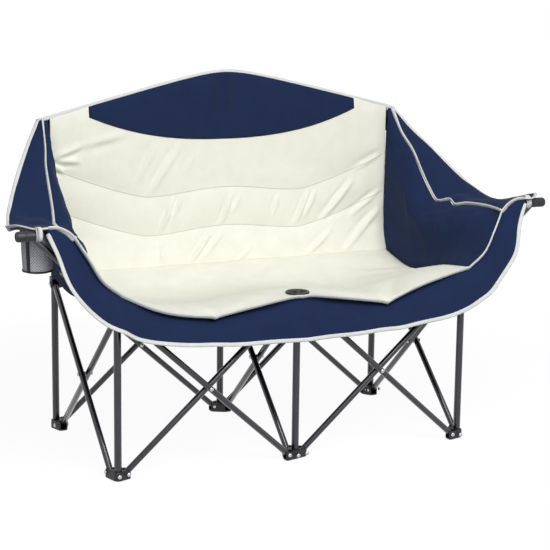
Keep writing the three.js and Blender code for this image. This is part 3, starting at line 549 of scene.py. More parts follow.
class Seam:
    """A smooth line through points, walked by its length."""

    STEPS = 24

    def __init__(self, *points: Vector) -> None:
        """Runs a spline through the points.

        Args:
            points: Places on the seam, in order.
        """
        ends = [2 * points[0] - points[1], *points, 2 * points[-1] - points[-2]]
        self.line: list[Vector] = []
        for before, start, stop, after in zip(ends, ends[1:], ends[2:], ends[3:]):
            for step in range(self.STEPS):
                t = step / self.STEPS
                pull = (stop - before) / 2
                push = (after - start) / 2
                bend = (2 * start - 2 * stop + pull + push) * t**3
                self.line.append(bend + (3 * stop - 3 * start - 2 * pull - push) * t**2 + pull * t + start)
        self.line.append(points[-1].copy())
        self.marks = list(accumulate(((b - a).length for a, b in pairwise(self.line)), initial=0.0))

    @property
    def length(self) -> float:
        """The seam's length."""
        return self.marks[-1]

    def __call__(self, share: float) -> Vector:
        """The place a share of the way along.

        Args:
            share: The share of its length.

        Returns:
            The place.
        """
        target = min(max(share, 0.0), 1.0) * self.length
        index = min(bisect_right(self.marks, target), len(self.marks) - 1)
        low, high = self.marks[index - 1], self.marks[index]
        return self.line[index - 1].lerp(self.line[index], (target - low) / (high - low))


def both_sides(half: Line) -> Line:
    """A right-hand line joined with its mirror, from the left end to the right.

    Args:
        half: The line, from the middle out.

    Returns:
        The whole line.
    """

    def whole(t: float) -> Vector:
        """The place a share of the way from the left end."""
        point = half(abs(2 * t - 1)).copy()
        if t < 0.5:
            point.x *= -1
        return point

    return whole


def joined(first: Line, second: Line, share: float) -> Line:
    """Two lines run one after the other, the first for a share of the way."""
    return lambda t: first(t / share) if t < share else second((t - share) / (1 - share))


def spanned(bottom: Line, top: Line, left: Line, right: Line) -> Surface:
    """The smooth sheet that four edges span.

    Args:
        bottom: The edge at v 0, which runs with u.
        top: The edge at v 1, which runs with u.
        left: The edge at u 0, which runs with v.
        right: The edge at u 1, which runs with v.

    Returns:
        The sheet, by u and v.
    """

    def sheet(u: float, v: float) -> Vector:
        """The place by u and v."""
        ruled = bottom(u) * (1 - v) + top(u) * v
        crossed = left(v) * (1 - u) + right(v) * u
        low = bottom(0) * (1 - u) + bottom(1) * u
        high = top(0) * (1 - u) + top(1) * u
        return ruled + crossed - low * (1 - v) - high * v

    return sheet


def normal_of(sheet: Surface, u: float, v: float) -> Vector:
    """The way that a sheet faces at a place.

    Args:
        sheet: The sheet.
        u: The share along it.
        v: The share over it.

    Returns:
        The way, of length 1.
    """
    step = 1e-3
    along = sheet(min(u + step, 1), v) - sheet(max(u - step, 0), v)
    over = sheet(u, min(v + step, 1)) - sheet(u, max(v - step, 0))
    return along.cross(over).normalized()


@dataclass(frozen=True)
class Crease:
    """A drag line in cloth: where it runs on the piece, how wide it is and how far it stands out."""

    start: tuple[float, float]
    end: tuple[float, float]
    width: float
    rise: float
    trough: float = 0.6
    trough_off: float = 1.6

    def lift(self, x: float, y: float) -> float:
        """How far the cloth is lifted at a place in the piece's own plane.

        Args:
            x: The place across.
            y: The place up or back.

        Returns:
            The lift.
        """
        start, along = Vector(self.start), Vector(self.end) - Vector(self.start)
        offset = Vector((x, y)) - start
        share = offset.dot(along) / along.length_squared
        if not 0 < share < 1:
            return 0.0
        off = (offset.x * along.y - offset.y * along.x) / along.length / self.width
        dip = self.trough * math.exp(-((off - self.trough_off) ** 2))
        return self.rise * math.sin(math.pi * share) * (math.exp(-(off**2)) - dip)


def creased(*rows: tuple[float, ...]) -> tuple[Crease, ...]:
    """Creases from rows of two places, a width and a rise."""
    return tuple(Crease(row[:2], row[2:4], *row[4:]) for row in rows)


@contextmanager
def reworked(piece: Piece) -> Iterator[Shape]:
    """Opens a piece's mesh for work, and puts the result back.

    Args:
        piece: The piece.

    Yields:
        The open mesh.
    """
    bm = bmesh.new()
    bm.from_mesh(piece.data)
    yield bm
    bm.to_mesh(piece.data)
    bm.free()
    piece.data.update()


def ease(piece: Piece, held: Callable[[Vector], bool], rounds: int, way: Vector) -> None:
    """Eases small folds out of a puffed piece, but not where stitching holds it.

    Args:
        piece: The puffed piece.
        held: Whether stitching holds a place.
        rounds: How often the cloth is evened out.
        way: The axis along which it gives.
    """
    gives = {f"use_axis_{name}": bool(share) for name, share in zip("xyz", way)}
    with reworked(piece) as bm:
        loose = [vert for vert in bm.verts if not held(vert.co)]
        for _ in range(rounds):
            bmesh.ops.smooth_vert(bm, verts=loose, factor=0.5, **gives)


def refine(piece: Piece) -> None:
    """Halves the cells of a puffed piece, so that narrow creases can be laid in it."""
    with reworked(piece) as bm:
        bmesh.ops.subdivide_edges(bm, edges=bm.edges[:], cuts=1, use_grid_fill=True)


def bell(off: float, width: float) -> float:
    """A soft bump, 1 in its middle and near 0 beyond twice its width."""
    return math.exp(-((off / width) ** 2))


def ripple(point: Vector, wave: float, height: float) -> float:
    """A slight unevenness that is the same each run, by a place, its wave length and its height."""
    return height * noise.noise(point / wave)


def cloth_grid(sheet: Surface, columns: int, rows: int, cut: Span) -> Shape:
    """Lays a flat cut of cloth on a sheet.

    Args:
        sheet: The sheet, by u and v.
        columns: Cells along u.
        rows: Cells along v.
        cut: The cut's width and length, which its UV map keeps in metres.

    Returns:
        The cloth.
    """
    bm = bmesh.new()
    bmesh.ops.create_grid(bm, x_segments=columns, y_segments=rows, size=0.5)
    uv = bm.loops.layers.uv.new("cut")
    for loop in (loop for face in bm.faces for loop in face.loops):
        loop[uv].uv = ((loop.vert.co.x + 0.5) * cut[0], (loop.vert.co.y + 0.5) * cut[1])
    for vert in bm.verts:
        vert.co = sheet(min(max(vert.co.x + 0.5, 0), 1), min(max(vert.co.y + 0.5, 0), 1))
    bm.normal_update()
    return bm


def backed(bm: Shape, thickness: float) -> None:
    """Gives a sheet a second face behind it, bridged round the rim.

    Args:
        bm: The sheet.
        thickness: How far behind it the second face lies.
    """
    rim = [edge for edge in bm.edges if edge.is_boundary]
    ways = {vert: vert.normal.copy() for vert in bm.verts}
    copy = bmesh.ops.duplicate(bm, geom=[*bm.verts, *bm.edges, *bm.faces])
    for vert, way in ways.items():
        copy["vert_map"][vert].co -= way * thickness
    copied = [item for item in copy["geom"] if isinstance(item, bmesh.types.BMFace)]
    bmesh.ops.reverse_faces(bm, faces=copied)
    back_rim = [item for item in copy["geom"] if isinstance(item, bmesh.types.BMEdge) and item.is_boundary]
    bmesh.ops.bridge_loops(bm, edges=[*rim, *back_rim])
    bmesh.ops.recalc_face_normals(bm, faces=bm.faces)


def oval_sweep(edge: Line, inward: Line, size: Span, columns: int, inset: float = 0.0,
               rows: int = 10) -> Shape:
    """Carries a flat oval section along an edge.

    Args:
        edge: The line that it follows.
        inward: The way into the cloth at each place, which the oval's width follows.
        size: The oval's width and thickness.
        columns: Steps along the edge.
        inset: How far the oval's middle lies in from the edge, as a share of its width.
        rows: Sides of the oval.

    Returns:
        The closed sweep.
    """
    step = 0.5 / columns
    width, thickness = size
    length = sum((edge((i + 1) / columns) - edge(i / columns)).length for i in range(columns))

    def skin(u: float, v: float) -> Vector:
        """The sweep's surface, by the share along it and round it."""
        along = (edge(min(u + step, 1)) - edge(max(u - step, 0))).normalized()
        into = inward(u)
        into = (into - along * into.dot(along)).normalized()
        angle = 2 * math.pi * v
        flat = math.copysign(abs(math.cos(angle)) ** 0.7, math.cos(angle))
        middle = edge(u) + into * width * inset
        return middle + into * (width / 2 * flat) + along.cross(into) * (thickness / 2 * math.sin(angle))

    bm = cloth_grid(skin, columns, rows, (length, 2 * (width + thickness)))
    bmesh.ops.remove_doubles(bm, verts=bm.verts, dist=WELD)
    bmesh.ops.holes_fill(bm, edges=[edge for edge in bm.edges if edge.is_boundary], sides=0)
    bmesh.ops.recalc_face_normals(bm, faces=bm.faces)
    return bm


def new_piece(name: str, bm: Shape, *finishes: Finish) -> Piece:
    """Makes a smooth piece from a bmesh, which is used up.

    Args:
        name: The piece's name.
        bm: Its shape, in place.
        finishes: Its materials, in the order of its faces' indices.

    Returns:
        The piece.
    """
    mesh = bpy.data.meshes.new(name)
    bm.to_mesh(mesh)
    bm.free()
    mesh.shade_smooth()
    for finish in finishes:
        mesh.materials.append(finish.material)
    piece = bpy.data.objects.new(name, mesh)
    bpy.context.scene.collection.objects.link(piece)
    LOG.info("made %s: %d faces", name, len(mesh.polygons))
    return piece


def sharpened(piece: Piece, degrees: float = 38) -> Piece:
    """Keeps a piece's edges crisp where its faces meet at more than an angle."""
    piece.data.set_sharp_from_angle(angle=math.radians(degrees))
    return piece


def walled(piece: Piece, thickness: float) -> None:
    """Gives a sheet its thickness, half of it to each side.

    Args:
        piece: The sheet.
        thickness: Its whole thickness.
    """
    wall = piece.modifiers.new("wall", "SOLIDIFY")
    wall.thickness = thickness
    wall.offset = 0.0


def rim_of(bm: Shape) -> KDTree:
    """The points on the rim of a sheet, to tell how far a place lies from it.

    Args:
        bm: The sheet.

    Returns:
        The points, ready to search.
    """
    places = [vert.co.copy() for vert in bm.verts if vert.is_boundary]
    rim = KDTree(len(places))
    for index, place in enumerate(places):
        rim.insert(place, index)
    rim.balance()
    return rim


def set_along(place: Vector, way: Vector) -> Matrix:
    """The transform that puts a shape in place with its own Z along a way."""
    return Matrix.Translation(place) @ UP.rotation_difference(way.normalized()).to_matrix().to_4x4()


def turned(profile: Sequence[tuple[float, float]], steps: int, place: Matrix) -> Shape:
    """Turns a profile of radius and height round its own Z and puts it in place.

    Args:
        profile: Pairs of radius and height.
        steps: Sides of the round.
        place: Where the solid goes.

    Returns:
        The closed shape.
    """
    bm = bmesh.new()
    verts = [bm.verts.new((radius, 0, height)) for radius, height in profile]
    edges = [bm.edges.new(pair) for pair in pairwise(verts)]
    bmesh.ops.spin(bm, geom=[*verts, *edges], cent=(0, 0, 0), axis=UP, angle=2 * math.pi, steps=steps, use_merge=True)
    bmesh.ops.remove_doubles(bm, verts=bm.verts, dist=WELD)
    bmesh.ops.recalc_face_normals(bm, faces=bm.faces)
    bmesh.ops.transform(bm, matrix=place, verts=bm.verts)
    return bm


def middle_of(node: str) -> Vector:
    """The middle of a node's box in the frame."""
    low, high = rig.box(node)
    return (low + high) / 2


def tie(piece: Piece, body: str, slot: Slot, *nodes: str) -> Piece:
    """Ties a finished piece to the frame.

    Args:
        piece: The piece, in place.
        body: The body that carries it.
        slot: The record's slot for its finish.
        nodes: The frame's nodes that it stands for.

    Returns:
        The piece.
    """
    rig.ride(piece, body)
    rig.slot(piece, slot.value)
    if nodes:
        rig.replaces(piece, *nodes)
    return piece


@dataclass(frozen=True)
class Puff:
    """How a pad is blown up between its sewn lines."""

    pressure: float
    slack: float
    frames: int
    front_most: float
    back_most: float

    def fill(self, pad: Piece, sewn: Callable[[Vector], bool], face: Vector) -> None:
        """Runs the cloth and keeps its result, no further from the cut than the caps.

        Args:
            pad: The closed pad, in place.
            sewn: Says whether a place is held by stitching.
            face: The way that the pad's good side faces.
        """
        scene = bpy.context.scene
        rest = [(vert.co.copy(), vert.normal.dot(face)) for vert in pad.data.vertices]
        held = pad.vertex_groups.new(name="sewn")
        held.add([i for i, (place, _) in enumerate(rest) if sewn(place)], 1.0, "REPLACE")
        cloth = pad.modifiers.new("puff", "CLOTH")
        cloth.settings.vertex_group_mass = held.name
        cloth.settings.quality = 4
        cloth.settings.use_pressure = True
        cloth.settings.uniform_pressure_force = self.pressure
        cloth.settings.shrink_min = -self.slack
        cloth.settings.bending_stiffness = 0.3
        cloth.settings.effector_weights.gravity = 0.0
        cloth.collision_settings.use_collision = False
        cloth.point_cache.frame_end = self.frames
        for number in range(1, self.frames + 1):
            scene.frame_set(number)
        shaped = pad.evaluated_get(bpy.context.evaluated_depsgraph_get()).data
        moves = [after.co - place for after, (place, _) in zip(shaped.vertices, rest)]
        pad.modifiers.remove(cloth)
        pad.vertex_groups.remove(held)
        scene.frame_set(1)
        for vert, (place, facing), move in zip(pad.data.vertices, rest, moves):
            most = self.front_most if facing > 0 else self.back_most
            vert.co = place + move * min(1.0, most / max(move.length, 1e-9))


@dataclass(frozen=True)
class Gather:
    """How a soft piece follows the fold: the body that carries it, and how it gathers towards a point."""

    body: str
    axis: tuple[float, float, float]
    anchor: tuple[float, float, float]
    keep: float

    def carry(self, piece: Piece, slot: Slot, *nodes: str) -> Piece:
        """Ties a finished piece to the frame, for the nodes that it stands for, and lets it gather.

        Args:
            piece: The piece, in place.
            slot: The record's slot for its finish.
            nodes: The frame's nodes that it stands for.

        Returns:
            The piece.
        """
        tie(piece, self.body, slot, *nodes)
        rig.squash(piece, "fold", axis=self.axis, anchor=self.anchor, keep=self.keep)
        return piece


@dataclass(frozen=True)
class Bench:
    """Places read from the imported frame, to which the cloth is cut."""

    front: float
    rear: float
    pitch: float
    hub_top: float
    corner_top: float
    middle_top: float

    @classmethod
    def measured(cls) -> Bench:
        """Reads the places from the frame's nodes."""
        return cls(
            front=middle_of("front_right_upright").y,
            rear=middle_of("rear_right_post").y,
            pitch=middle_of("front_right_upright").x,
            hub_top=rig.box("front_middle_hub")[1].z,
            corner_top=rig.box("rear_right_post")[1].z,
            middle_top=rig.box("rear_middle_post")[1].z,
        )

    def at(self, across: float, back: float, up: float) -> Vector:
        """A place by its distance from the chair's middle, behind the front uprights and above the hubs."""
        return Vector((across, self.front + back, self.hub_top + up))

    def through(self, *places: tuple[float, float, float] | Vector) -> Seam:
        """A seam through places given as for at, or as finished points."""
        return Seam(*(place if isinstance(place, Vector) else self.at(*place) for place in places))


@dataclass
class Bucket:
    """The seams of the sewn bucket on the right-hand side, in metres from the frame."""

    bench: Bench
    lip: float = 0.036
    half_width: float = 0.505
    back_plane: float = 0.478
    crease_back: float = 0.456
    crease_up: float = 0.013
    corner_rise: float = 0.012
    peak_rise: float = 0.017
    peak_round: float = 0.15
    uneven: float = 0.012
    uneven_from: float = 0.25
    uneven_span: float = 0.24
    seat_share: float = 0.72
    wing_start: float = 0.37
    front_share: float = 0.935
    cup_place: Span = (-0.668, 0.072)

    @cached_property
    def cup_centre(self) -> Vector:
        """The middle of the cup in plan."""
        return Vector((self.cup_place[0], self.bench.front + self.cup_place[1], 0))

    @property
    def corner_up(self) -> float:
        """How far the backrest's top corners are above the hubs."""
        return self.bench.corner_top + self.corner_rise - self.bench.hub_top

    @cached_property
    def seat_corner(self) -> Vector:
        """Where the seat's front meets its side."""
        return self.bench.at(0.490, -self.lip, 0.051)

    @cached_property
    def arm_corner(self) -> Vector:
        """Where the arm seam meets the front."""
        return self.bench.at(0.600, -0.012, 0.194)

    @cached_property
    def back_corner(self) -> Vector:
        """Where the side panel meets the backrest's top."""
        return self.bench.at(self.half_width + 0.002, self.back_plane, self.corner_up - 0.008)

    @cached_property
    def shoulder(self) -> Vector:
        """Where the arm seam meets the backrest's top, a little outside its corner."""
        return self.back_corner + ACROSS * 0.017

    @cached_property
    def wing_strap(self) -> Vector:
        """Where the strap holds the wing's front edge to the arm cap."""
        return self.bench.at(0.697, -0.012, 0.2245)

    @cached_property
    def wing_tip(self) -> Vector:
        """The outer corner of the wing, behind the arm cap."""
        return self.bench.at(0.746, 0.072, 0.2215)

    @cached_property
    def wing_corner(self) -> Vector:
        """Where the wing's edge meets the backrest's top."""
        return self.back_corner + Vector((0.031, 0.011, -0.003))

    @cached_property
    def seat_front(self) -> Seam:
        """The front of the seat, drawn down into a notch over each front crossing."""
        lip = -self.lip
        return self.bench.through(
            (0, lip, 0.011), (0.035, lip, 0.011), (0.147, lip, -0.006), (0.225, lip, -0.019), (0.245, lip, -0.024),
            (0.265, lip, -0.017), (0.392, lip, 0.017), self.seat_corner,
        )

    @cached_property
    def seat_side(self) -> Seam:
        """The side of the seat, high at the front and slack behind."""
        return self.bench.through(
            self.seat_corner, (0.492, 0.040, 0.041), (0.495, 0.100, 0.031), (0.498, 0.160, 0.011),
            (0.500, 0.270, -0.011), (0.503, 0.350, -0.009), (self.half_width, self.crease_back, self.crease_up),
        )

    @cached_property
    def arm_front(self) -> Seam:
        """The front of the side panel."""
        return self.bench.through(
            self.seat_corner, (0.538, -0.034, 0.090), (0.5725, -0.025, 0.148), self.arm_corner,
        )

    @cached_property
    def back_side(self) -> Seam:
        """The side of the backrest."""
        wide = self.half_width
        return self.bench.through(
            (wide, self.crease_back, self.crease_up), (wide, self.back_plane, 0.097),
            (wide, self.back_plane, 0.265), self.back_corner,
        )

    @cached_property
    def arm_seam(self) -> Seam:
        """The seam between side panel and wing, slack along the arm and taut up to the back."""
        return self.bench.through(
            self.arm_corner, (0.604, 0.030, 0.194), (0.601, 0.080, 0.194), (0.590, 0.150, 0.189),
            (0.577, 0.190, 0.181), (0.579, 0.224, 0.190), (0.565, 0.268, 0.182), (0.557, 0.304, 0.216),
            (0.552, 0.344, 0.261), (0.546, 0.388, 0.313), (0.533, 0.432, 0.360), self.shoulder,
        )

    @cached_property
    def wing_front(self) -> Seam:
        """The front edge of the wing, from the arm seam out over the cap and round to the outer corner."""
        return self.bench.through(
            self.arm_corner, (0.619, -0.012, 0.212), (0.649, -0.012, 0.2245), self.wing_strap,
            (0.731, 0.022, 0.2305), self.wing_tip,
        )

    @cached_property
    def wing_edge(self) -> Seam:
        """The outer edge of the wing."""
        return self.bench.through(
            self.wing_tip, (0.725, 0.128, 0.204), (0.706, 0.188, 0.191), (0.690, 0.255, 0.209),
            (0.665, 0.312, 0.244), (0.622, 0.385, 0.307), (0.576, 0.448, 0.370), self.wing_corner,
        )

    @cached_property
    def wing_back(self) -> Line:
        """The short edge of the wing at the backrest's top corner."""
        return lambda t: self.shoulder.lerp(self.wing_corner, t)

    @cached_property
    def skirt_edge(self) -> Seam:
        """The lower edge of the skirt, from the middle out and up to the arm cap."""
        return self.bench.through(
            (0, -0.066, -0.097), (0.2205, -0.071, -0.0895), (0.358, -0.076, -0.0755), (0.451, -0.081, -0.0565),
            (0.503, -0.084, -0.0285), (0.549, -0.082, 0.005), (0.614, -0.067, 0.083), (0.644, -0.042, 0.158),
            (0.672, -0.017, 0.211),
        )

    def settled(self, line: Line) -> Line:
        """A front line from end to end, where one seat sags a little and the other stands taut.

        Args:
            line: The line, from the middle out.

        Returns:
            The whole line.
        """
        whole = both_sides(line)

        def uneven(t: float) -> Vector:
            """The line's place, sunk on the left and raised on the right."""
            point = whole(t)
            way = (abs(point.x) - self.uneven_from) / self.uneven_span
            lift = self.uneven * math.sin(math.pi * way) if 0 < way < 1 else 0.0
            return point + UP * math.copysign(lift, point.x)

        return uneven

    @cached_property
    def front_seam(self) -> Line:
        """The front of seat and side panel and the first of the wing, as one line from the middle."""
        rim = joined(self.seat_front, self.arm_front, self.seat_share)
        return joined(rim, lambda t: self.wing_front(t * self.wing_start), self.front_share)

    def top_edge(self, x: float) -> float:
        """The height of the backrest's top, a soft peak over the middle post.

        Args:
            x: The place across the back.

        Returns:
            The height.
        """

        def fall(way: float) -> float:
            """How far the top has fallen, before scaling."""
            return math.hypot(way, self.peak_round) - self.peak_round

        low = self.bench.corner_top + self.corner_rise
        high = self.bench.middle_top + self.peak_rise
        return mix(high, low, fall(x / self.half_width) / fall(1))


@dataclass
class Folding:
    """How each soft part follows the fold of the frame."""

    bench: Bench
    back_keep: float = 0.18
    seat_keep: float = 0.17
    side_keep: float = 0.2
    wing_slant: Span = (0.41, -0.91)

    @property
    def back(self) -> Gather:
        """The backrest gathers between the rear posts."""
        return Gather("rear_middle", tuple(ACROSS), (0, self.bench.rear, 0), self.back_keep)

    @property
    def front(self) -> Gather:
        """The skirt and the front of the seat stay on the front middle hub."""
        return Gather("front_middle_hub", tuple(ACROSS), (0, self.bench.front, 0), self.seat_keep)

    @property
    def seat_rear(self) -> Gather:
        """The rear of the seat tips up with the bar that carries the rear middle hub."""
        return Gather("middle_side_out_bar", tuple(ACROSS), (0, self.bench.rear, 0), self.seat_keep)

    def panel(self, side: Side) -> Gather:
        """A side panel gathers back to its rear post."""
        anchor = (side.way * self.bench.pitch, self.bench.rear, 0)
        return Gather(f"rear_{side.value}", tuple(DEEP), anchor, self.side_keep)

    def wing(self, side: Side) -> Gather:
        """A wing gathers back to its rear post along its own slant."""
        out, back = self.wing_slant
        return replace(self.panel(side), axis=(side.way * out, back, 0))


@dataclass
class Backrest:
    """The padded backrest, sewn into channels, with its facing across the top and the pockets for the posts."""

    bucket: Bucket
    gather: Gather
    channel_heights: Span = (0.084, 0.192)
    side_rise: float = 0.092
    middle_rise: float = 0.018
    turn: float = 0.45
    thickness: float = 0.006
    columns: int = 150
    band_rows: int = 15
    sewn_width: float = 0.004
    cut: Span = (1.03, 0.55)
    puff: Puff = Puff(pressure=5.0, slack=0.012, frames=16, front_most=0.0068, back_most=0.005)
    creases: tuple[Crease, ...] = creased(
        (-0.510, 0.747, -0.408, 0.786, 0.0075, 0.0081), (-0.420, 0.780, -0.289, 0.811, 0.0097, 0.0054),
        (-0.510, 0.746, -0.419, 0.738, 0.0067, 0.0068), (-0.512, 0.740, -0.464, 0.708, 0.0060, 0.0054),
        (-0.130, 0.785, -0.233, 0.630, 0.0083, 0.0065), (-0.205, 0.785, -0.262, 0.672, 0.0083, 0.0046),
        (-0.090, 0.750, -0.130, 0.690, 0.0067, 0.0035), (-0.152, 0.632, -0.196, 0.528, 0.0067, 0.0065),
        (-0.128, 0.634, -0.159, 0.570, 0.0060, 0.0049), (0.020, 0.632, -0.017, 0.535, 0.0067, 0.0054),
        (0.045, 0.628, 0.021, 0.575, 0.0053, 0.0038), (0.260, 0.628, 0.216, 0.530, 0.0067, 0.0065),
        (0.284, 0.630, 0.243, 0.548, 0.0060, 0.0049), (0.404, 0.655, 0.290, 0.526, 0.0083, 0.0065),
        (0.492, 0.616, 0.384, 0.541, 0.0075, 0.0057), (0.163, 0.624, 0.145, 0.556, 0.0060, 0.0038),
        (-0.044, 0.528, -0.118, 0.438, 0.0067, 0.0068), (-0.002, 0.529, -0.080, 0.450, 0.0067, 0.0049),
        (0.080, 0.486, 0.030, 0.438, 0.0060, 0.0041), (0.340, 0.518, 0.238, 0.437, 0.0075, 0.0057),
        (0.494, 0.566, 0.360, 0.444, 0.0090, 0.0068), (-0.187, 0.512, -0.198, 0.440, 0.0060, 0.0041),
        (0.494, 0.722, 0.397, 0.676, 0.0075, 0.0043),
    )
    yoke_half_width: float = 0.398
    yoke_low: float = 0.785
    yoke_end_height: float = 0.032
    yoke_gap: float = 1.2 * MM
    yoke_cut: float = 0.185
    yoke_bow: float = 2.4
    top_gap: float = 2.5 * MM
    yoke_top_gap: float = 3.5 * MM
    hem_stitch: float = 4 * MM
    row_gap: float = 5 * MM
    row_end: float = 6 * MM
    pocket_box: tuple[float, float, float] = (-0.037, 0.015, 0.099)
    sleeve_flange: float = 1.9
    sleeve_round: Span = (0.2, 0.8)
    sleeve_tail: float = 8 * MM
    sleeve_behind: float = 5 * MM
    cloth_wall: float = 1.2 * MM
    stitch_lift: float = 0.3 * MM
    stitch_ends: Span = (0.15, 0.85)
    front_facing: float = 0.3
    uneven: Span = (0.09, 1.2 * MM)
    ease_rounds: int = 7
    crease_pull: float = 1.3
    known_lines: dict[int, list[float]] = field(default_factory=dict)

    @property
    def crease(self) -> float:
        """The height of the fold between seat and back."""
        return self.bucket.bench.hub_top + self.bucket.crease_up

    def channel(self, x: float, height: float) -> float:
        """The height of a sewn channel line, which dips either side of the middle and climbs to the sides.

        Args:
            x: The place across.
            height: The line's height over the crease.

        Returns:
            The height.
        """
        way = abs(x) / self.bucket.half_width
        if way < self.turn:
            sway = self.middle_rise * (0.5 + 0.5 * math.cos(math.pi * way / self.turn))
        else:
            sway = self.side_rise * ((way - self.turn) / (1 - self.turn)) ** 1.3
        return self.crease + height + sway

    def lines(self, x: float) -> list[float]:
        """The heights of the crease, the sewn lines and the top at a place across the back, kept by millimetres.

        Args:
            x: The place across.

        Returns:
            The heights, from the crease up.
        """
        key = round(x / MM)
        if key not in self.known_lines:
            top = self.bucket.top_edge(x) - self.top_gap
            channels = (self.channel(x, height) for height in self.channel_heights)
            self.known_lines[key] = [self.crease, *channels, top]
        return self.known_lines[key]

    def front(self, u: float, v: float) -> Vector:
        """The cut of the front cloth before it is puffed.

        Args:
            u: The share along the cloth.
            v: The share over it.

        Returns:
            The place.
        """
        x = mix(-self.bucket.half_width, self.bucket.half_width, u)
        lines = self.lines(x)
        bands = len(lines) - 1
        band = min(int(v * bands), bands - 1)
        z = mix(lines[band], lines[band + 1], v * bands - band)
        low = self.bucket.crease_back
        depth = mix(low, self.bucket.back_plane, min((z - self.crease) / self.channel_heights[0], 1))
        return Vector((x, self.bucket.bench.front + depth - self.thickness / 2, z))

    def sewn(self, place: Vector) -> bool:
        """Whether stitching holds a place.

        Args:
            place: The place.

        Returns:
            Whether it is held.
        """
        if abs(place.x) > self.bucket.half_width - self.sewn_width:
            return True
        return any(abs(place.z - line) < self.sewn_width for line in self.lines(place.x))

    def pad(self) -> Piece:
        """Builds the puffed pad, cream in front and navy behind.

        Returns:
            The piece.
        """
        bm = cloth_grid(self.front, self.columns, 3 * self.band_rows, self.cut)
        backed(bm, self.thickness)
        for face in bm.faces:
            face.material_index = 0 if face.normal.dot(FRONT) > self.front_facing else 1
        pad = new_piece("backrest_cushion", bm, CREAM, NAVY)
        self.puff.fill(pad, self.sewn, FRONT)
        ease(pad, self.sewn, self.ease_rounds, DEEP)
        refine(pad)
        for vert in [vert for vert in pad.data.vertices if vert.normal.dot(FRONT) > self.front_facing]:
            drag = self.crease_pull * sum(crease.lift(vert.co.x, vert.co.z) for crease in self.creases)
            vert.co += FRONT * (drag + ripple(vert.co, *self.uneven))
        return pad

    def yoke_edge(self, x: float) -> float:
        """The height of the facing's lower edge."""
        way = (abs(x) / self.yoke_half_width) ** self.yoke_bow
        return mix(self.yoke_low, self.bucket.top_edge(self.yoke_half_width) - self.yoke_end_height, way)

    def yoke(self, skin: BVHTree) -> Piece:
        """Builds the facing, laid on the puffed pad.

        Args:
            skin: The pad's surface.

        Returns:
            The piece.
        """
        ahead = self.bucket.bench.front

        def sheet(u: float, v: float) -> Vector:
            """The facing's place by u and v."""
            x = mix(-self.yoke_half_width, self.yoke_half_width, u)
            z = mix(self.yoke_edge(x), self.bucket.top_edge(x) - self.yoke_top_gap, v)
            hit = skin.ray_cast(Vector((x, ahead, z)), DEEP)[0]
            return Vector((x, hit.y - self.yoke_gap, z))

        bm = cloth_grid(sheet, 90, 22, (2 * self.yoke_half_width, self.yoke_cut))
        backed(bm, self.yoke_gap * 0.8)
        return new_piece("backrest_facing", bm, NAVY)

    def channel_rows(self) -> list[Line]:
        """The rows of stitching along the channels."""
        wide = self.bucket.half_width - 0.006

        def channel(height: float) -> Line:
            """One channel's row."""
            return lambda t: Vector((mix(-wide, wide, t), 0, self.channel(mix(-wide, wide, t), height)))

        return [channel(height) for height in self.channel_heights]

    def facing_rows(self) -> list[Line]:
        """The rows of stitching on the facing: its lower edge and the pocket for the middle post.

        Returns:
            The rows, seen from the front.
        """

        def edge(t: float) -> Vector:
            """The row along the lower edge."""
            x = mix(-self.yoke_half_width, self.yoke_half_width, t)
            return Vector((x, 0, self.yoke_edge(x) + self.hem_stitch))

        left, right, height = self.pocket_box
        rows: list[Line] = [edge]
        for inset in (0.0, self.row_gap):
            low = self.bucket.top_edge(0) - height + inset
            high = self.bucket.top_edge(0) - self.row_end
            corners = [(left + inset, high), (left + inset, low), (right - inset, low), (right - inset, high)]
            for (x0, z0), (x1, z1) in pairwise(corners):
                rows.append(lambda t, a=(x0, z0), b=(x1, z1): Vector((mix(a[0], b[0], t), 0, mix(a[1], b[1], t))))
        return rows

    def pocket(self, column: str) -> Piece:
        """Builds the sewn sleeve behind the backrest that slips over one post top.

        Args:
            column: The post's column.

        Returns:
            The piece.
        """
        low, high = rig.box(f"{column}_post_pocket")
        centre, radius = (low + high) / 2, (high.x - low.x) / 2
        flange = radius * self.sleeve_flange
        behind = self.bucket.bench.front + self.bucket.back_plane + self.sleeve_behind
        start, stop = self.sleeve_round

        def sleeve(u: float, v: float) -> Vector:
            """The sleeve's place by u and v."""
            bow = max(0.0, math.cos(math.pi * (u - 0.5) * 1.1)) ** 0.7
            across = mix(-flange, flange, u)
            if start < u < stop:
                across = radius * math.sin(math.pi * (u - 0.5) / (stop - start))
            depth = mix(behind, centre.y + radius, bow)
            return Vector((centre.x + across, depth, mix(low.z - self.sleeve_tail, high.z, v)))

        bm = cloth_grid(sleeve, 28, 10, (0.07, 0.065))
        backed(bm, self.cloth_wall)
        piece = new_piece(f"{column}_post_sleeve", bm, NAVY)
        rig.sheet(piece, flat=(0.075, 0.068), held="stretched", rests_on=[f"rear_{column}_post"])
        return tie(piece, f"rear_{column}", Slot.NAVY, f"{column}_post_pocket")

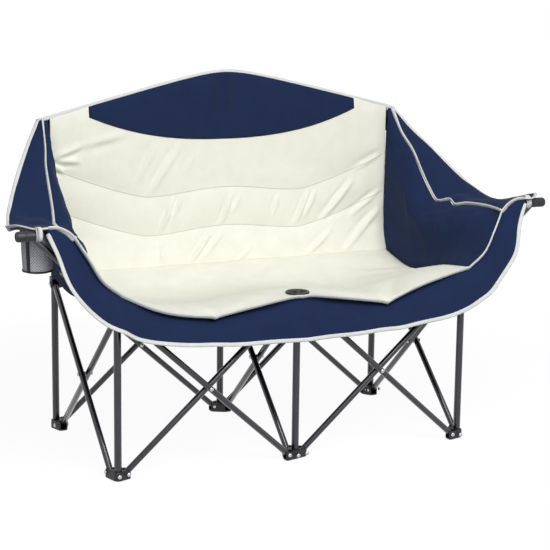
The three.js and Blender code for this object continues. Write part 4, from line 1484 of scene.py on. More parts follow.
    def build(self) -> list[Piece]:
        """Builds and ties on every piece of the backrest.

        Returns:
            The pieces.
        """
        pad = self.pad()
        graph = bpy.context.evaluated_depsgraph_get()
        graph.update()
        skin = BVHTree.FromObject(pad, graph)
        yoke = self.yoke(skin)
        graph.update()
        faced = [BVHTree.FromObject(piece, graph) for piece in (yoke, pad)]
        # The cream channel thread is drawn dark partly as painted shade of the sewn grooves.
        quilting_and_seam_shade = new_piece("quilting_thread", self.stitches(self.channel_rows(), faced), CREAM_THREAD_AND_SEAM_SHADE)
        # The facing's rows are near-black partly as painted shade of their sewn grooves.
        facing = new_piece("facing_thread", self.stitches(self.facing_rows(), faced), NAVY_THREAD_AND_SEAM_SHADE)
        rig.padded(pad, fill=0.5)
        self.gather.carry(pad, Slot.CREAM, "backrest_pad")
        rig.sheet(yoke, flat=(0.80, 0.185), held="stretched", rests_on=[pad], area=0.117)
        self.gather.carry(yoke, Slot.NAVY, "back_yoke")
        self.gather.carry(quilting_and_seam_shade, Slot.CREAM)
        self.gather.carry(facing, Slot.NAVY)
        return [pad, yoke, quilting_and_seam_shade, facing, *map(self.pocket, ("left", "middle", "right"))]

    def stitches(self, rows: Iterable[Line], skins: Sequence[BVHTree]) -> Shape:
        """Sews rows of stitching, each stitch laid on the front-most cloth.

        Args:
            rows: The rows, seen from the front.
            skins: The cloths.

        Returns:
            The stitches.
        """
        bm = bmesh.new()
        ahead = self.bucket.bench.front
        for row in rows:
            length = sum((row((i + 1) / 40) - row(i / 40)).length for i in range(40))
            count = max(int(length / STITCH_PITCH), 2)
            for i in range(count):
                ends = []
                for share in self.stitch_ends:
                    point = row((i + share) / count)
                    hits = [skin.ray_cast(Vector((point.x, ahead, point.z)), DEEP)[0] for skin in skins]
                    depths = [hit.y for hit in hits if hit]
                    ends.append(Vector((point.x, min(depths) - self.stitch_lift, point.z)))
                add_stitch(bm, *ends)
        return bm


def add_stitch(bm: Shape, start: Vector, end: Vector) -> None:
    """Adds one stitch, a bead drawn out between two needle holes.

    Args:
        bm: What gets the stitch.
        start: The first hole.
        end: The second hole.
    """
    along = end - start
    size = Matrix.Diagonal((STITCH_RADIUS, STITCH_RADIUS, along.length / 2, 1))
    bmesh.ops.create_icosphere(bm, subdivisions=1, radius=1.0, matrix=set_along((start + end) / 2, along) @ size)


@dataclass
class Seat:
    """The padded seat, slung from the hubs, made in two halves that tip with the fold."""

    bucket: Bucket
    front_gather: Gather
    rear_gather: Gather
    thickness: float = 0.006
    sag: float = 0.015
    columns: int = 140
    rows: int = 60
    ease_from: float = 0.014
    ease_rounds: int = 30
    split_behind: float = 0.055
    sewn_width: float = 0.004
    button_hold: float = 0.034
    rear_gap: float = 2 * MM
    side_gap: float = 1.5 * MM
    top_facing: float = 0.2
    tuck: Span = (0.03, 1.2 * MM)
    uneven: Span = (0.11, 1.5 * MM)
    cut: Span = (1.03, 0.50)
    puff: Puff = Puff(pressure=5.0, slack=0.012, frames=16, front_most=0.010, back_most=0.002)
    creases: tuple[Crease, ...] = creased(
        (0.10, -0.20, 0.03, -0.02, 0.020, 0.0030), (-0.11, -0.21, -0.20, -0.05, 0.022, 0.0035),
        (0.24, -0.24, 0.30, -0.08, 0.018, 0.0045), (-0.24, -0.24, -0.28, -0.10, 0.018, 0.0045),
        (0.48, -0.13, 0.34, 0.00, 0.020, 0.0040), (0.49, 0.02, 0.30, 0.12, 0.022, 0.0035),
        (-0.48, -0.10, -0.33, 0.02, 0.020, 0.0035), (0.20, 0.22, 0.05, 0.10, 0.022, 0.0035),
        (-0.10, 0.23, -0.25, 0.12, 0.022, 0.0035),
    )

    @cached_property
    def sheet(self) -> Surface:
        """The cut of the top cloth before it is puffed.

        Returns:
            The sheet, by u and v.
        """
        half, bench = self.bucket.half_width - self.side_gap, self.bucket.bench
        rear = self.bucket.crease_back - self.rear_gap
        flat = spanned(
            self.bucket.settled(self.bucket.seat_front),
            lambda t: bench.at(mix(-half, half, t), rear, self.bucket.crease_up),
            Side.LEFT.placed(self.bucket.seat_side),
            self.bucket.seat_side,
        )
        lift = UP * (self.thickness / 2)
        return lambda u, v: flat(u, v) + lift - UP * (self.sag * swell(u) * swell(v) * v)

    def build(self) -> list[Piece]:
        """Builds the puffed seat, cuts it across and ties on both parts.

        Returns:
            The pieces.
        """
        bm = cloth_grid(self.sheet, self.columns, self.rows, self.cut)
        rim = rim_of(bm)
        backed(bm, self.thickness)
        for face in bm.faces:
            face.material_index = 0 if face.normal.z > 0 else 1
        whole = new_piece("seat_cushion", bm, CREAM, NAVY)
        button = Vector((0, self.bucket.bench.front, 0))

        def sewn(place: Vector) -> bool:
            """Whether stitching or the button holds a place."""
            flat = Vector((place.x, place.y, 0))
            return rim.find(place)[2] < self.thickness + self.sewn_width or (flat - button).length < self.button_hold

        self.puff.fill(whole, sewn, UP)
        ease(whole, lambda place: rim.find(place)[2] < self.ease_from, self.ease_rounds, UP)
        for vert in [vert for vert in whole.data.vertices if vert.normal.z > self.top_facing]:
            if not sewn(vert.co):
                drag = sum(crease.lift(vert.co.x, vert.co.y) for crease in self.creases)
                tucks = ripple(vert.co, *self.tuck) * math.exp(-rim.find(vert.co)[2] / self.tuck[0])
                vert.co += UP * (drag + tucks + ripple(vert.co, *self.uneven))
        whole.data.update()
        return self.halves(whole)

    def halves(self, whole: Piece) -> list[Piece]:
        """Cuts the seat across behind its front row, and keeps its shading whole over the cut.

        Args:
            whole: The seat in one piece, which is used up.

        Returns:
            The front and the rear part.
        """
        split = self.bucket.bench.front + self.split_behind
        shading = KDTree(len(whole.data.vertices))
        ways = [vert.normal.copy() for vert in whole.data.vertices]
        for vert in whole.data.vertices:
            shading.insert(vert.co, vert.index)
        shading.balance()
        made = []
        for name, gather in (("front", self.front_gather), ("rear", self.rear_gather)):
            bm = bmesh.new()
            bm.from_mesh(whole.data)
            geom = [*bm.verts, *bm.edges, *bm.faces]
            away = DEEP if name == "front" else FRONT
            cut = bmesh.ops.bisect_plane(bm, geom=geom, plane_co=DEEP * split, plane_no=away, clear_outer=True)
            edges = [item for item in cut["geom_cut"] if isinstance(item, bmesh.types.BMEdge)]
            bmesh.ops.edgeloop_fill(bm, edges=edges)
            half = new_piece(f"seat_{name}_half", bm, CREAM, NAVY)
            normals = []
            for vert in half.data.vertices:
                near = shading.find_n(vert.co, 2)
                total = sum((ways[index] / max(far, 1e-6) for _, index, far in near), Vector())
                normals.append(total.normalized())
            half.data.normals_split_custom_set_from_vertices(normals)
            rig.padded(half, fill=0.4)
            made.append(gather.carry(half, Slot.CREAM, "seat_pad"))
        bpy.data.objects.remove(whole)
        return made


@dataclass
class SideCloth:
    """One padded side panel with the wing that folds out over the arm."""

    bucket: Bucket
    side: Side
    panel_gather: Gather
    wing_gather: Gather
    panel_thickness: float = 0.004
    wing_thickness: float = 0.0022
    bulge: float = 0.041
    panel_hold: float = 3 * MM
    panel_slack: Span = (0.08, 5 * MM)
    wing_slack: Span = (1.0, 9 * MM)
    wing_sag: float = 10 * MM
    panel_cut: Span = (0.50, 0.34)
    wing_cut: Span = (0.62, 0.17)
    puff: Puff = Puff(pressure=3.0, slack=0.012, frames=14, front_most=0.0045, back_most=0.0045)
    cup_hole: float = 0.042

    def panel(self) -> Piece:
        """Builds the padded panel between seat and arm seam.

        Returns:
            The piece.
        """
        bucket, placed = self.bucket, self.side.placed
        sheet = spanned(
            placed(bucket.seat_side),
            placed(bucket.arm_seam),
            placed(bucket.arm_front),
            placed(joined(bucket.back_side, lambda t: bucket.back_corner.lerp(bucket.shoulder, t), 0.95)),
        )
        inward = -ACROSS * self.side.way

        def cloth(u: float, v: float) -> Vector:
            """The panel's place by u and v, bulged and slack."""
            u, v = mix(0.006, 0.998, u), mix(0.003, 0.985, v)
            point = sheet(u, v)
            slack = ripple(Vector((point.y * 2.2, point.z * 0.7, self.side.way)), *self.panel_slack)
            bulge = self.bulge * math.sin(math.pi * u**0.85) ** 1.5 * math.sin(math.pi * v**2)
            return point + inward * (bulge + slack * swell(u) * swell(v) - 0.002)

        bm = cloth_grid(cloth, 56, 40, self.panel_cut)
        if self.side is Side.RIGHT:
            bmesh.ops.reverse_faces(bm, faces=bm.faces)
        bm.normal_update()
        rim = rim_of(bm)
        backed(bm, self.panel_thickness)
        piece = new_piece(f"{self.side.value}_side_cushion", bm, NAVY)
        self.puff.fill(piece, lambda place: rim.find(place)[2] < self.panel_thickness + self.panel_hold, inward)
        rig.padded(piece, fill=0.3)
        return self.panel_gather.carry(piece, Slot.NAVY, f"{self.side.value}_side_panel")

    @cached_property
    def wing_sheet(self) -> Surface:
        """The wing from the arm seam out to its bound edge, with slack folds.

        Returns:
            The sheet, by u and v.
        """
        bucket, placed = self.bucket, self.side.placed
        sheet = spanned(
            placed(bucket.arm_seam),
            placed(bucket.wing_edge),
            placed(bucket.wing_front),
            placed(bucket.wing_back),
        )

        def cloth(u: float, v: float) -> Vector:
            """The wing's place by u and v, sagging."""
            point = sheet(u, v)
            slack = ripple(Vector((u * 5, v * 1.2, 3.1 * self.side.way)), *self.wing_slack)
            sag = self.wing_sag * swell(v) * swell(u)
            return point - UP * (sag + slack * swell(v) * swell(min(u * 1.05, 1)))

        return cloth

    def wing(self) -> Piece:
        """Builds the wing, with a hole for the cup on the left side.

        Returns:
            The piece.
        """
        bm = cloth_grid(self.wing_sheet, 84, 26, self.wing_cut)
        if self.side is Side.LEFT:
            bmesh.ops.reverse_faces(bm, faces=bm.faces)
            bm.normal_update()
            centre = self.bucket.cup_centre.xy
            inside = [f for f in bm.faces if (f.calc_center_median().xy - centre).length < self.cup_hole]
            bmesh.ops.delete(bm, geom=inside, context="FACES")
            for vert in bm.verts:
                off = vert.co.xy - centre
                if vert.is_boundary and off.length < self.cup_hole * 1.5:
                    vert.co.xy = centre + off.normalized() * self.cup_hole
        bm.normal_update()
        piece = new_piece(f"{self.side.value}_wing_cloth", bm, NAVY)
        walled(piece, self.wing_thickness)
        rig.sheet(piece, flat=(0.64, 0.14), held="hung", rests_on=[f"{self.side.value}_arm_cap"], area=0.053)
        return self.wing_gather.carry(piece, Slot.NAVY, f"{self.side.value}_arm_wing")

    def tapes(self) -> list[Piece]:
        """Builds the tape on the arm seam and on the wing's two free edges.

        Returns:
            The pieces.
        """
        name, sheet, front_share = self.side.value, self.wing_sheet, 0.25
        edge = joined(lambda t: sheet(0, t), lambda t: sheet(t, 1), front_share)

        def into(t: float) -> Vector:
            """The way from the edge into the wing."""
            along = max(t - front_share, 0) / (1 - front_share)
            return sheet(mix(0.02, 1, along), 0.6) - edge(t)

        outer = oval_sweep(edge, into, TAPE_SIZE, 150, 0.3)
        seam = oval_sweep(lambda t: sheet(t, 0) + UP * 2 * MM, lambda t: normal_of(sheet, t, 0.02), ARM_TAPE_SIZE, 120)
        return [
            self.wing_gather.carry(new_piece(f"{name}_wing_edge_tape", outer, TAPE), Slot.TAPE, "upper_binding"),
            self.wing_gather.carry(new_piece(f"{name}_arm_seam_tape", seam, TAPE), Slot.TAPE),
        ]

    def build(self) -> list[Piece]:
        """Builds and ties on every piece of this side."""
        return [self.panel(), self.wing(), *self.tapes()]


@dataclass
class Skirt:
    """The crescent of cloth that hangs from the front seam, with its hem and the piping above it."""

    bucket: Bucket
    gather: Gather
    thickness: float = 0.0022
    cut: Span = (1.62, 0.125)
    folds: int = 11
    fold_depth: float = 0.007
    tuck: float = 0.028
    hub_clear: float = 0.6
    notch: Span = (0.245, 0.05)
    hub_half: float = 0.07
    under_lip: Span = (0.05, 0.34)
    left_hang: float = 0.017
    left_end: Span = (0.50, 0.672)

    @cached_property
    def sheet(self) -> Surface:
        """The hanging cloth: tucked in under the seat's lip, with soft folds that open downwards.

        Returns:
            The sheet, by u and v.
        """
        upper, lower = self.bucket.settled(self.bucket.front_seam), both_sides(self.bucket.skirt_edge)
        inner, outer = self.left_end

        def cloth(u: float, v: float) -> Vector:
            """The skirt's place by u and v."""
            hem = lower(u)
            hem -= ACROSS * self.left_hang * swell(min(max((-hem.x - inner) / (outer - inner), 0), 1))
            point = upper(u).lerp(hem, v)
            wave = math.sin(2 * math.pi * self.folds * u + 1.3 * math.sin(9 * u))
            notch = bell(abs(point.x) - self.notch[0], self.notch[1])
            hubs = sum(bell(abs(point.x) - at, self.hub_half) for at in (0, self.bucket.bench.pitch))
            under = (1 - bell(v, self.under_lip[0])) * bell(v, self.under_lip[1])
            tuck = -self.tuck * under * swell(u) ** 0.5 * (1 - self.hub_clear * min(hubs, 1))
            depth = self.fold_depth * wave * v * (1 - 0.5 * v) * (0.6 + notch)
            slack = ripple(Vector((u * 14, v * 1.5, 0.4)), 1.0, 4 * MM) * math.sin(math.pi * v)
            return point + FRONT * (depth + slack + tuck)

        return cloth

    def build(self) -> list[Piece]:
        """Builds the skirt, its hem and its piping.

        Returns:
            The pieces.
        """
        bm = cloth_grid(lambda u, v: self.sheet(u, mix(0.02, 1, v)), 220, 20, self.cut)
        bmesh.ops.reverse_faces(bm, faces=bm.faces)
        bm.normal_update()
        cloth = new_piece("front_skirt_cloth", bm, NAVY)
        walled(cloth, self.thickness)
        sheet = self.sheet
        hem_bm = oval_sweep(lambda t: sheet(t, 1), lambda t: sheet(t, 0.9) - sheet(t, 1), TAPE_SIZE, 240, 0.3)
        hem = new_piece("skirt_hem_tape", hem_bm, TAPE)
        seam = self.bucket.settled(self.bucket.front_seam)
        piping_bm = oval_sweep(seam, lambda t: UP + FRONT * 0.6, SEAM_TAPE_SIZE, 260, 0.1)
        piping = new_piece("front_seam_piping", piping_bm, TAPE)
        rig.sheet(cloth, flat=self.cut, held="hung", rests_on=["seat_front_half"], with_pieces=[hem], area=0.131)
        self.gather.carry(cloth, Slot.NAVY, "front_skirt")
        self.gather.carry(hem, Slot.TAPE, "skirt_binding")
        self.gather.carry(piping, Slot.TAPE, "front_piping")
        return [cloth, hem, piping]


@dataclass
class BackTape:
    """The tape over the backrest's top edge."""

    bucket: Bucket
    gather: Gather
    size: Span = (0.0115, 0.0075)

    def build(self) -> list[Piece]:
        """Builds the tape from corner to corner.

        Returns:
            The pieces.
        """
        corner, depth = self.bucket.wing_corner, self.bucket.bench.front + self.bucket.back_plane

        def edge(t: float) -> Vector:
            """The tape's line from corner to corner."""
            x = mix(-corner.x, corner.x, t)
            out = max(abs(x) - self.bucket.half_width, 0) / (corner.x - self.bucket.half_width)
            z = mix(self.bucket.top_edge(min(abs(x), self.bucket.half_width)), corner.z, out)
            return Vector((x, mix(depth, corner.y, out**2), z + 1 * MM))

        bm = oval_sweep(edge, lambda t: -UP, self.size, 120, 0.25)
        piece = new_piece("backrest_top_tape", bm, TAPE)
        return [self.gather.carry(piece, Slot.TAPE, "upper_binding")]


@dataclass
class CupHolder:
    """The net cup that hangs from the left wing, with its black rims and seam."""

    bucket: Bucket
    gather: Gather
    radius: float = 0.040
    foot_radius: float = 0.036
    foot_up: float = 0.105
    tall: float = 0.100
    wall: float = 1.6 * MM
    rim_half: float = 2 * MM
    segments: int = 56
    strip_way: tuple[float, float, float] = (-0.8, -0.6, 0)
    strip_size: Span = (0.011, 0.003)
    flat: Span = (0.27, 0.15)
    area: float = 0.034

    def lathe(self, *profile: tuple[float, float]) -> Shape:
        """Turns a profile of radius and height round the cup's axis, with its cut rolled out in metres.

        Args:
            profile: Pairs of radius and height.

        Returns:
            The turned shape.
        """
        centre = self.bucket.cup_centre
        bm = turned(profile, self.segments, Matrix.Translation(centre))
        uv = bm.loops.layers.uv.new("cut")
        for loop in (loop for face in bm.faces for loop in face.loops):
            off = loop.vert.co - centre
            middle = loop.face.calc_center_median() - centre
            angle = math.atan2(off.y, off.x)
            angle += 2 * math.pi * round((math.atan2(middle.y, middle.x) - angle) / (2 * math.pi))
            loop[uv].uv = (angle * self.radius, off.z)
        return bm

    def ring(self, name: str, radius: float, low: float, tall: float) -> Piece:
        """Builds a rim of tape round the cup.

        Args:
            name: The piece's name.
            radius: The cup's radius there.
            low: The rim's foot.
            tall: Its height.

        Returns:
            The piece.
        """
        inner, outer, high = radius - self.rim_half, radius + self.rim_half, low + tall
        swell_out = (outer + 0.5 * MM, low + tall / 2)
        bm = self.lathe((inner, low), (outer, low), swell_out, (outer, high), (inner, high), (inner, low))
        return new_piece(name, bm, BLACK_TAPE)

    def build(self) -> list[Piece]:
        """Builds the net, its rims and its seam strip.

        Returns:
            The pieces.
        """
        low, r, foot = self.bucket.bench.hub_top + self.foot_up, self.radius, self.foot_radius
        top = low + self.tall
        bottom = ((1 * MM, low + 4 * MM), (foot * 0.8, low), (foot - 2 * MM, low + 3 * MM))
        net = self.lathe(*bottom, (foot, low + 9 * MM), (mix(foot, r, 0.6), low + 50 * MM), (r, top))
        cup = new_piece("cup_net_bag", net, NET)
        walled(cup, self.wall)
        top_rim = self.ring("cup_top_rim", r, top - 6 * MM, 12 * MM)
        foot_rim = self.ring("cup_foot_rim", foot, low + 2 * MM, 4 * MM)
        way, centre = Vector(self.strip_way), self.bucket.cup_centre
        start = centre + way * (foot + 1 * MM) + UP * (low + 2 * MM)
        end = centre + way * (r + 1.5 * MM) + UP * (top + 2 * MM)
        strip = oval_sweep(lambda t: start.lerp(end, t), lambda t: UP.cross(way), self.strip_size, 12)
        made = [top_rim, foot_rim, new_piece("cup_seam_strip", strip, BLACK_TAPE)]
        self.gather.carry(cup, Slot.NET, "cup_holder")
        for piece in made:
            self.gather.carry(piece, Slot.NET)
        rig.sheet(cup, flat=self.flat, held="hung", rests_on=["left_wing_cloth"], area=self.area)
        return [cup, *made]


@dataclass
class Tubing:
    """The round steel tubes, with moulded plugs in their ends."""

    nodes: dict[str, Piece]
    bodies: dict[str, str]
    bar_radius: float = 0.008
    upright_radius: float = 0.0095
    sides: int = 28
    edge: float = 0.6 * MM
    wall_share: float = 0.18
    plug_depth: float = 0.8 * MM

    def axis(self, node: str, radius: float) -> tuple[Vector, Vector]:
        """The two ends of a tube's axis, the lower end first.

        Args:
            node: The tube's node in the frame.
            radius: Its outer radius.

        Returns:
            The lower and the upper end.
        """
        low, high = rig.box(node)
        middle, size = (low + high) / 2, high - low
        if max(size.x, size.y) < 4 * radius:
            return Vector((*middle.xy, low.z)), Vector((*middle.xy, high.z))
        way = ACROSS if size.x > size.y else DEEP
        lowest = min((vert.co for vert in self.nodes[node].data.vertices), key=lambda co: co.z)
        way = way if (lowest - middle).dot(way) < 0 else -way
        slope = math.pi / 4
        for _ in range(12):
            rise = size.z - 2 * radius * math.cos(slope)
            run = abs(size.dot(way)) - 2 * radius * math.sin(slope)
            slope = math.atan2(rise, run)
        half = (way * run + UP * rise) / 2
        return middle - half, middle + half

    def bar(self, node: str) -> tuple[Vector, Vector]:
        """The two ends of a scissor bar's axis."""
        return self.axis(node, self.bar_radius)

    def tube(self, node: str, radius: float) -> Piece:
        """Builds one tube with broken edges and sunk plugs.

        Args:
            node: The tube's node in the frame.
            radius: Its outer radius.

        Returns:
            The piece.
        """
        low, high = self.axis(node, radius)
        bm = bmesh.new()
        bmesh.ops.create_cone(bm, cap_ends=True, segments=self.sides, radius1=radius, radius2=radius,
                              depth=(high - low).length, matrix=set_along((low + high) / 2, high - low))

        def ends() -> list[bmesh.types.BMFace]:
            """The two end faces."""
            return [face for face in bm.faces if len(face.verts) > 4]

        rims = [edge for face in ends() for edge in face.edges]
        bmesh.ops.bevel(bm, geom=rims, offset=self.edge, offset_type="OFFSET", affect="EDGES", segments=2,
                        profile=0.5, material=-1)
        for face in ends():
            face.material_index = 1
        bmesh.ops.inset_individual(bm, faces=ends(), thickness=radius * self.wall_share, depth=-self.plug_depth)
        return sharpened(new_piece(f"{node}_tube", bm, STEEL, NYLON))

    def build(self) -> list[Piece]:
        """Replaces every tube of the frame.

        Returns:
            The pieces.
        """
        made = []
        for node, body in self.bodies.items():
            low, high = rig.box(node)
            kind = node.rpartition("_")[2]
            radii = {"bar": self.bar_radius, "stem": (high.y - low.y) / 2}
            radii |= dict.fromkeys(("upright", "post"), self.upright_radius)
            if kind in radii:
                made.append(tie(self.tube(node, radii[kind]), body, Slot.STEEL, node))
        return made


@dataclass
class Fasteners:
    """Domed rivet heads on the feet, hubs and crossings."""

    tubing: Tubing
    head_radius: float = 5.5 * MM
    head_height: float = 2.8 * MM
    tail: float = 6 * MM
    cheek: float = 13.9 * MM
    sunk: float = 0.3 * MM
    crossing_sunk: float = 0.2 * MM

    def heads(self, name: str, body: str, *faces: tuple[Vector, Vector]) -> Piece:
        """Builds a piece of domed heads.

        Args:
            name: The piece's name.
            body: The body that carries it.
            faces: The place of each head and the way that it faces.

        Returns:
            The piece.
        """
        bm = bmesh.new()
        size = Matrix.Diagonal((self.head_radius, self.head_radius, self.head_height, 1))
        for place, way in faces:
            matrix = set_along(place, way) @ size
            bmesh.ops.create_uvsphere(bm, u_segments=20, v_segments=10, radius=1.0, matrix=matrix)
        return tie(new_piece(name, bm, ZINC), body, Slot.RIVET)

    def post(self, moulding: str) -> str:
        """The upright or post that stands in a foot or runs through a hub."""
        stem = moulding.rpartition("_")[0]
        return f"{stem}_upright" if stem.startswith("front") else f"{stem}_post"

    def outward(self, moulding: str, flat: Vector) -> Vector:
        """The way out of the chair across a bar's swing, or nothing at the bars in the chair's middle.

        Args:
            moulding: The foot or hub.
            flat: The bar's direction in plan.

        Returns:
            The way.
        """
        if abs(flat.x) > 0.5:
            return FRONT if moulding.startswith("front") else DEEP
        return ACROSS * (("_right_" in moulding) - ("_left_" in moulding))

    def on_face(self, moulding: str, place: Vector, way: Vector) -> Vector:
        """The place straight out from a pivot on a moulding's outer face.

        Args:
            moulding: The foot or hub.
            place: The pivot.
            way: The way out.

        Returns:
            The place.
        """
        low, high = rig.box(moulding)
        corner = high if way.x + way.y > 0 else low
        return place + way * ((corner - place).dot(way) - self.sunk)

    def carrier(self, place: Vector, flat: Vector, label: str) -> tuple[str, Vector]:
        """The moulding that holds a bar's end, and the way out through its nearer cheek.

        Args:
            place: The bar's pivot.
            flat: The bar's direction in plan.
            label: Foot or hub.

        Returns:
            The moulding's node and the way out.
        """
        posts = {name: middle_of(self.post(name)) for name in self.tubing.bodies if name.endswith(f"_{label}")}
        name = min(posts, key=lambda key: (posts[key].xy - place.xy).length)
        off = place - posts[name]
        off.z = 0
        off -= flat * off.dot(flat)
        return name, off.normalized()

    def bar_ends(self, node: str) -> Iterator[Piece]:
        """Builds the heads on the cheeks of the foot and the hub that hold a bar.

        Args:
            node: The bar.

        Yields:
            Each end's piece.
        """
        low, high = self.tubing.bar(node)
        along = (high - low).normalized()
        start, stop = self.tubing.bar(node.replace("arm_bar", "back_bar"))
        flat = Vector((*along.xy, 0)).normalized()
        for label, distance in (("foot", self.tail), ("hub", (stop - start).length - self.tail)):
            place = low + along * distance
            moulding, way = self.carrier(place, flat, label)
            faces = [(place + way * self.cheek, way)]
            outward = self.outward(moulding, flat)
            if outward.dot(way) < -0.5:
                faces.append((self.on_face(moulding, place, outward), outward))
            yield self.heads(f"{node}_{label}_rivet", self.tubing.bodies[moulding], *faces)

    def foot(self, node: str, body: str) -> Piece:
        """Builds the head that pins an upright or post into its foot.

        Args:
            node: The foot.
            body: The body that carries it.

        Returns:
            The piece.
        """
        way = FRONT if node.startswith("front") else DEEP
        place = Vector((*middle_of(self.post(node)).xy, middle_of(node).z))
        return self.heads(f"{node.removesuffix('_foot')}_post_rivet", body, (self.on_face(node, place, way), way))

    def crossing(self, node: str, body: str) -> Piece:
        """Builds both heads of a crossing rivet.

        Args:
            node: The rivet.
            body: The body that carries it.

        Returns:
            The piece.
        """
        low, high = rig.box(node)
        middle, size = (low + high) / 2, high - low
        way = ACROSS if size.x > size.y else DEEP
        reach = way * (size.dot(way) / 2 - self.crossing_sunk)
        return self.heads(f"{node}_heads", body, (middle + reach, way), (middle - reach, -way))

    def build(self) -> list[Piece]:
        """Builds every rivet head.

        Returns:
            The pieces.
        """
        bodies = self.tubing.bodies
        made = [head for node in bodies if node.endswith("_bar") for head in self.bar_ends(node)]
        made += [self.foot(node, body) for node, body in bodies.items() if node.endswith("_foot")]
        made += [self.crossing(node, body) for node, body in bodies.items() if node.endswith("_cross_rivet")]
        return made


@dataclass
class Mouldings:
    """The nylon mouldings: feet and hubs from the frame, and turned arm caps and seat button."""

    nodes: dict[str, Piece]
    bodies: dict[str, str]
    cap_radius: float = 0.013
    cap_groove: float = 0.8 * MM
    broken: float = 1.5 * MM
    nose: float = 5 * MM
    stem_radius: float = 5 * MM
    rim_height: float = 5 * MM
    dish: float = 2 * MM
    boss: float = 3 * MM
    stud: Span = (4.5 * MM, 3.2 * MM)
    segments: int = 40
    edge: float = 0.7 * MM

    def dress(self) -> None:
        """Gives the frame's own mouldings and rivets their finish and breaks their edges."""
        for name, node in self.nodes.items():
            if name.endswith(("_foot", "_hub", "_rivet")):
                finish = ZINC if name.endswith("_rivet") else NYLON
                node.data.materials.clear()
                node.data.materials.append(finish.material)
                node.modifiers.new("weld", "WELD").merge_threshold = WELD
                flat = node.modifiers.new("flat", "DECIMATE")
                flat.decimate_type = "DISSOLVE"
                flat.angle_limit = math.radians(1)
                soft = node.modifiers.new("soft", "BEVEL")
                soft.width = self.edge
                soft.segments = 2
                soft.limit_method = "ANGLE"
                soft.angle_limit = math.radians(40)

    def cap(self, side: Side) -> Piece:
        """Builds an arm cap, a barrel with a rolled nose and a shallow groove.

        Args:
            side: The arm's side.

        Returns:
            The piece.
        """
        node = f"{side.value}_arm_cap"
        low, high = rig.box(node)
        long, r, broken, nose = (high.x - low.x) / 2, self.cap_radius, self.broken, self.nose
        sunk = r - self.cap_groove
        barrel = [(0, -long), (r - broken, -long), (r, -long + broken), (r, long * 0.25)]
        groove = [(sunk, long * 0.28), (sunk, long * 0.36), (r, long * 0.39), (r, long - nose)]
        end = [(r - broken, long - broken), (r - nose, long), (r - nose - 1 * MM, long - 2 * MM), (0, long - 2 * MM)]
        bm = turned(barrel + groove + end, self.segments, set_along((low + high) / 2, ACROSS * side.way))
        piece = sharpened(new_piece(f"{side.value}_arm_end_cap", bm, NYLON))
        return tie(piece, self.bodies[node], Slot.MOULDED, node)

    def button(self) -> Piece:
        """Builds the seat button: a rimmed disc with a boss and two studs.

        Returns:
            The piece.
        """
        low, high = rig.box("seat_button")
        middle, r, stem, broken = (low + high) / 2, (high.x - low.x) / 2, self.stem_radius, self.broken
        top = high.z - self.boss
        seat, dish = top - self.rim_height, top - self.dish
        shank = [(0, low.z), (stem, low.z), (stem, seat), (r - 1 * MM, seat), (r, seat + 1 * MM)]
        rim = [(r, top - broken), (r - broken, top), (r * 0.74, top), (r * 0.68, dish), (r * 0.36, dish)]
        boss = [(0.32, 1.5 * MM), (0.2, 2.5 * MM), (0.1, 1.2 * MM), (0, 1 * MM)]
        profile = shank + rim + [(r * share, top + rise) for share, rise in boss]
        bm = turned(profile, self.segments, Matrix.Translation((*middle.xy, 0)))
        size = Matrix.Diagonal((self.stud[0], self.stud[0], self.stud[1], 1))
        for way in (-1, 1):
            place = Matrix.Translation((middle.x + way * r * 0.52, middle.y, dish))
            bmesh.ops.create_uvsphere(bm, u_segments=18, v_segments=10, radius=1.0, matrix=place @ size)
        piece = sharpened(new_piece("seat_hold_button", bm, NYLON), 30)
        return tie(piece, self.bodies["seat_button"], Slot.MOULDED, "seat_button")

    def build(self) -> list[Piece]:
        """Dresses the frame's mouldings and builds the turned ones."""
        self.dress()
        return [*(self.cap(side) for side in Side), self.button()]


@dataclass
class Tabs:
    """The short loops of tape round the arm caps and arm bars that hold the cloth to the frame."""

    tubing: Tubing
    size: Span = (0.016, 0.0025)
    cap_place: float = 0.32
    cap_loop: Span = (0.0142, 0.006)
    bar_height: float = 0.552
    bar_loop: Span = (0.0098, 0.012)

    def loop(self, centre: Vector, along: Vector, size: Span) -> Shape:
        """Makes one flat loop.

        Args:
            centre: The middle of what it goes round.
            along: The axis of what it goes round.
            size: The loop's radius there, and how far its tail hangs below.

        Returns:
            The loop.
        """
        radius, drop = size
        over = along.cross(FRONT).normalized()
        out = over.cross(along).normalized()

        def path(t: float) -> Vector:
            """The loop's line, once round."""
            angle = 2 * math.pi * t
            stretch = drop if math.cos(angle) < 0 else 0.0
            return centre + over * (math.cos(angle) * (radius + stretch)) + out * (math.sin(angle) * radius)

        return oval_sweep(path, lambda t: along, self.size, 40)

    def build(self) -> list[Piece]:
        """Builds both cap loops and both bar loops.

        Returns:
            The pieces.
        """
        made = []
        for side in Side:
            cap = f"{side.value}_arm_cap"
            low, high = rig.box(cap)
            place = middle_of(cap) - ACROSS * side.way * (high.x - low.x) * self.cap_place
            foot, tip = self.tubing.bar(f"front_{side.value}_arm_bar")
            along = (tip - foot).normalized()
            point = foot + along * ((self.bar_height - foot.z) / along.z)
            loops = {"cap": self.loop(place, ACROSS, self.cap_loop), "bar": self.loop(point, along, self.bar_loop)}
            for label, bm in loops.items():
                piece = new_piece(f"{side.value}_{label}_loop", bm, TAPE)
                made.append(tie(piece, self.tubing.bodies[cap], Slot.TAPE))
        return made


@dataclass(frozen=True)
class Lamp:
    """A soft lamp: where it hangs, how wide it is and its power in watts."""

    place: tuple[float, float, float]
    size: float
    watts: float

    def hang(self, name: str, target: Vector) -> None:
        """Hangs the lamp so that it looks at a target.

        Args:
            name: The lamp's name.
            target: What it looks at.
        """
        data = bpy.data.lights.new(name, "AREA")
        data.size = self.size
        data.energy = self.watts
        lamp = bpy.data.objects.new(name, data)
        lamp.location = self.place
        lamp.rotation_euler = (target - Vector(self.place)).to_track_quat("-Z", "Y").to_euler()
        bpy.context.scene.collection.objects.link(lamp)


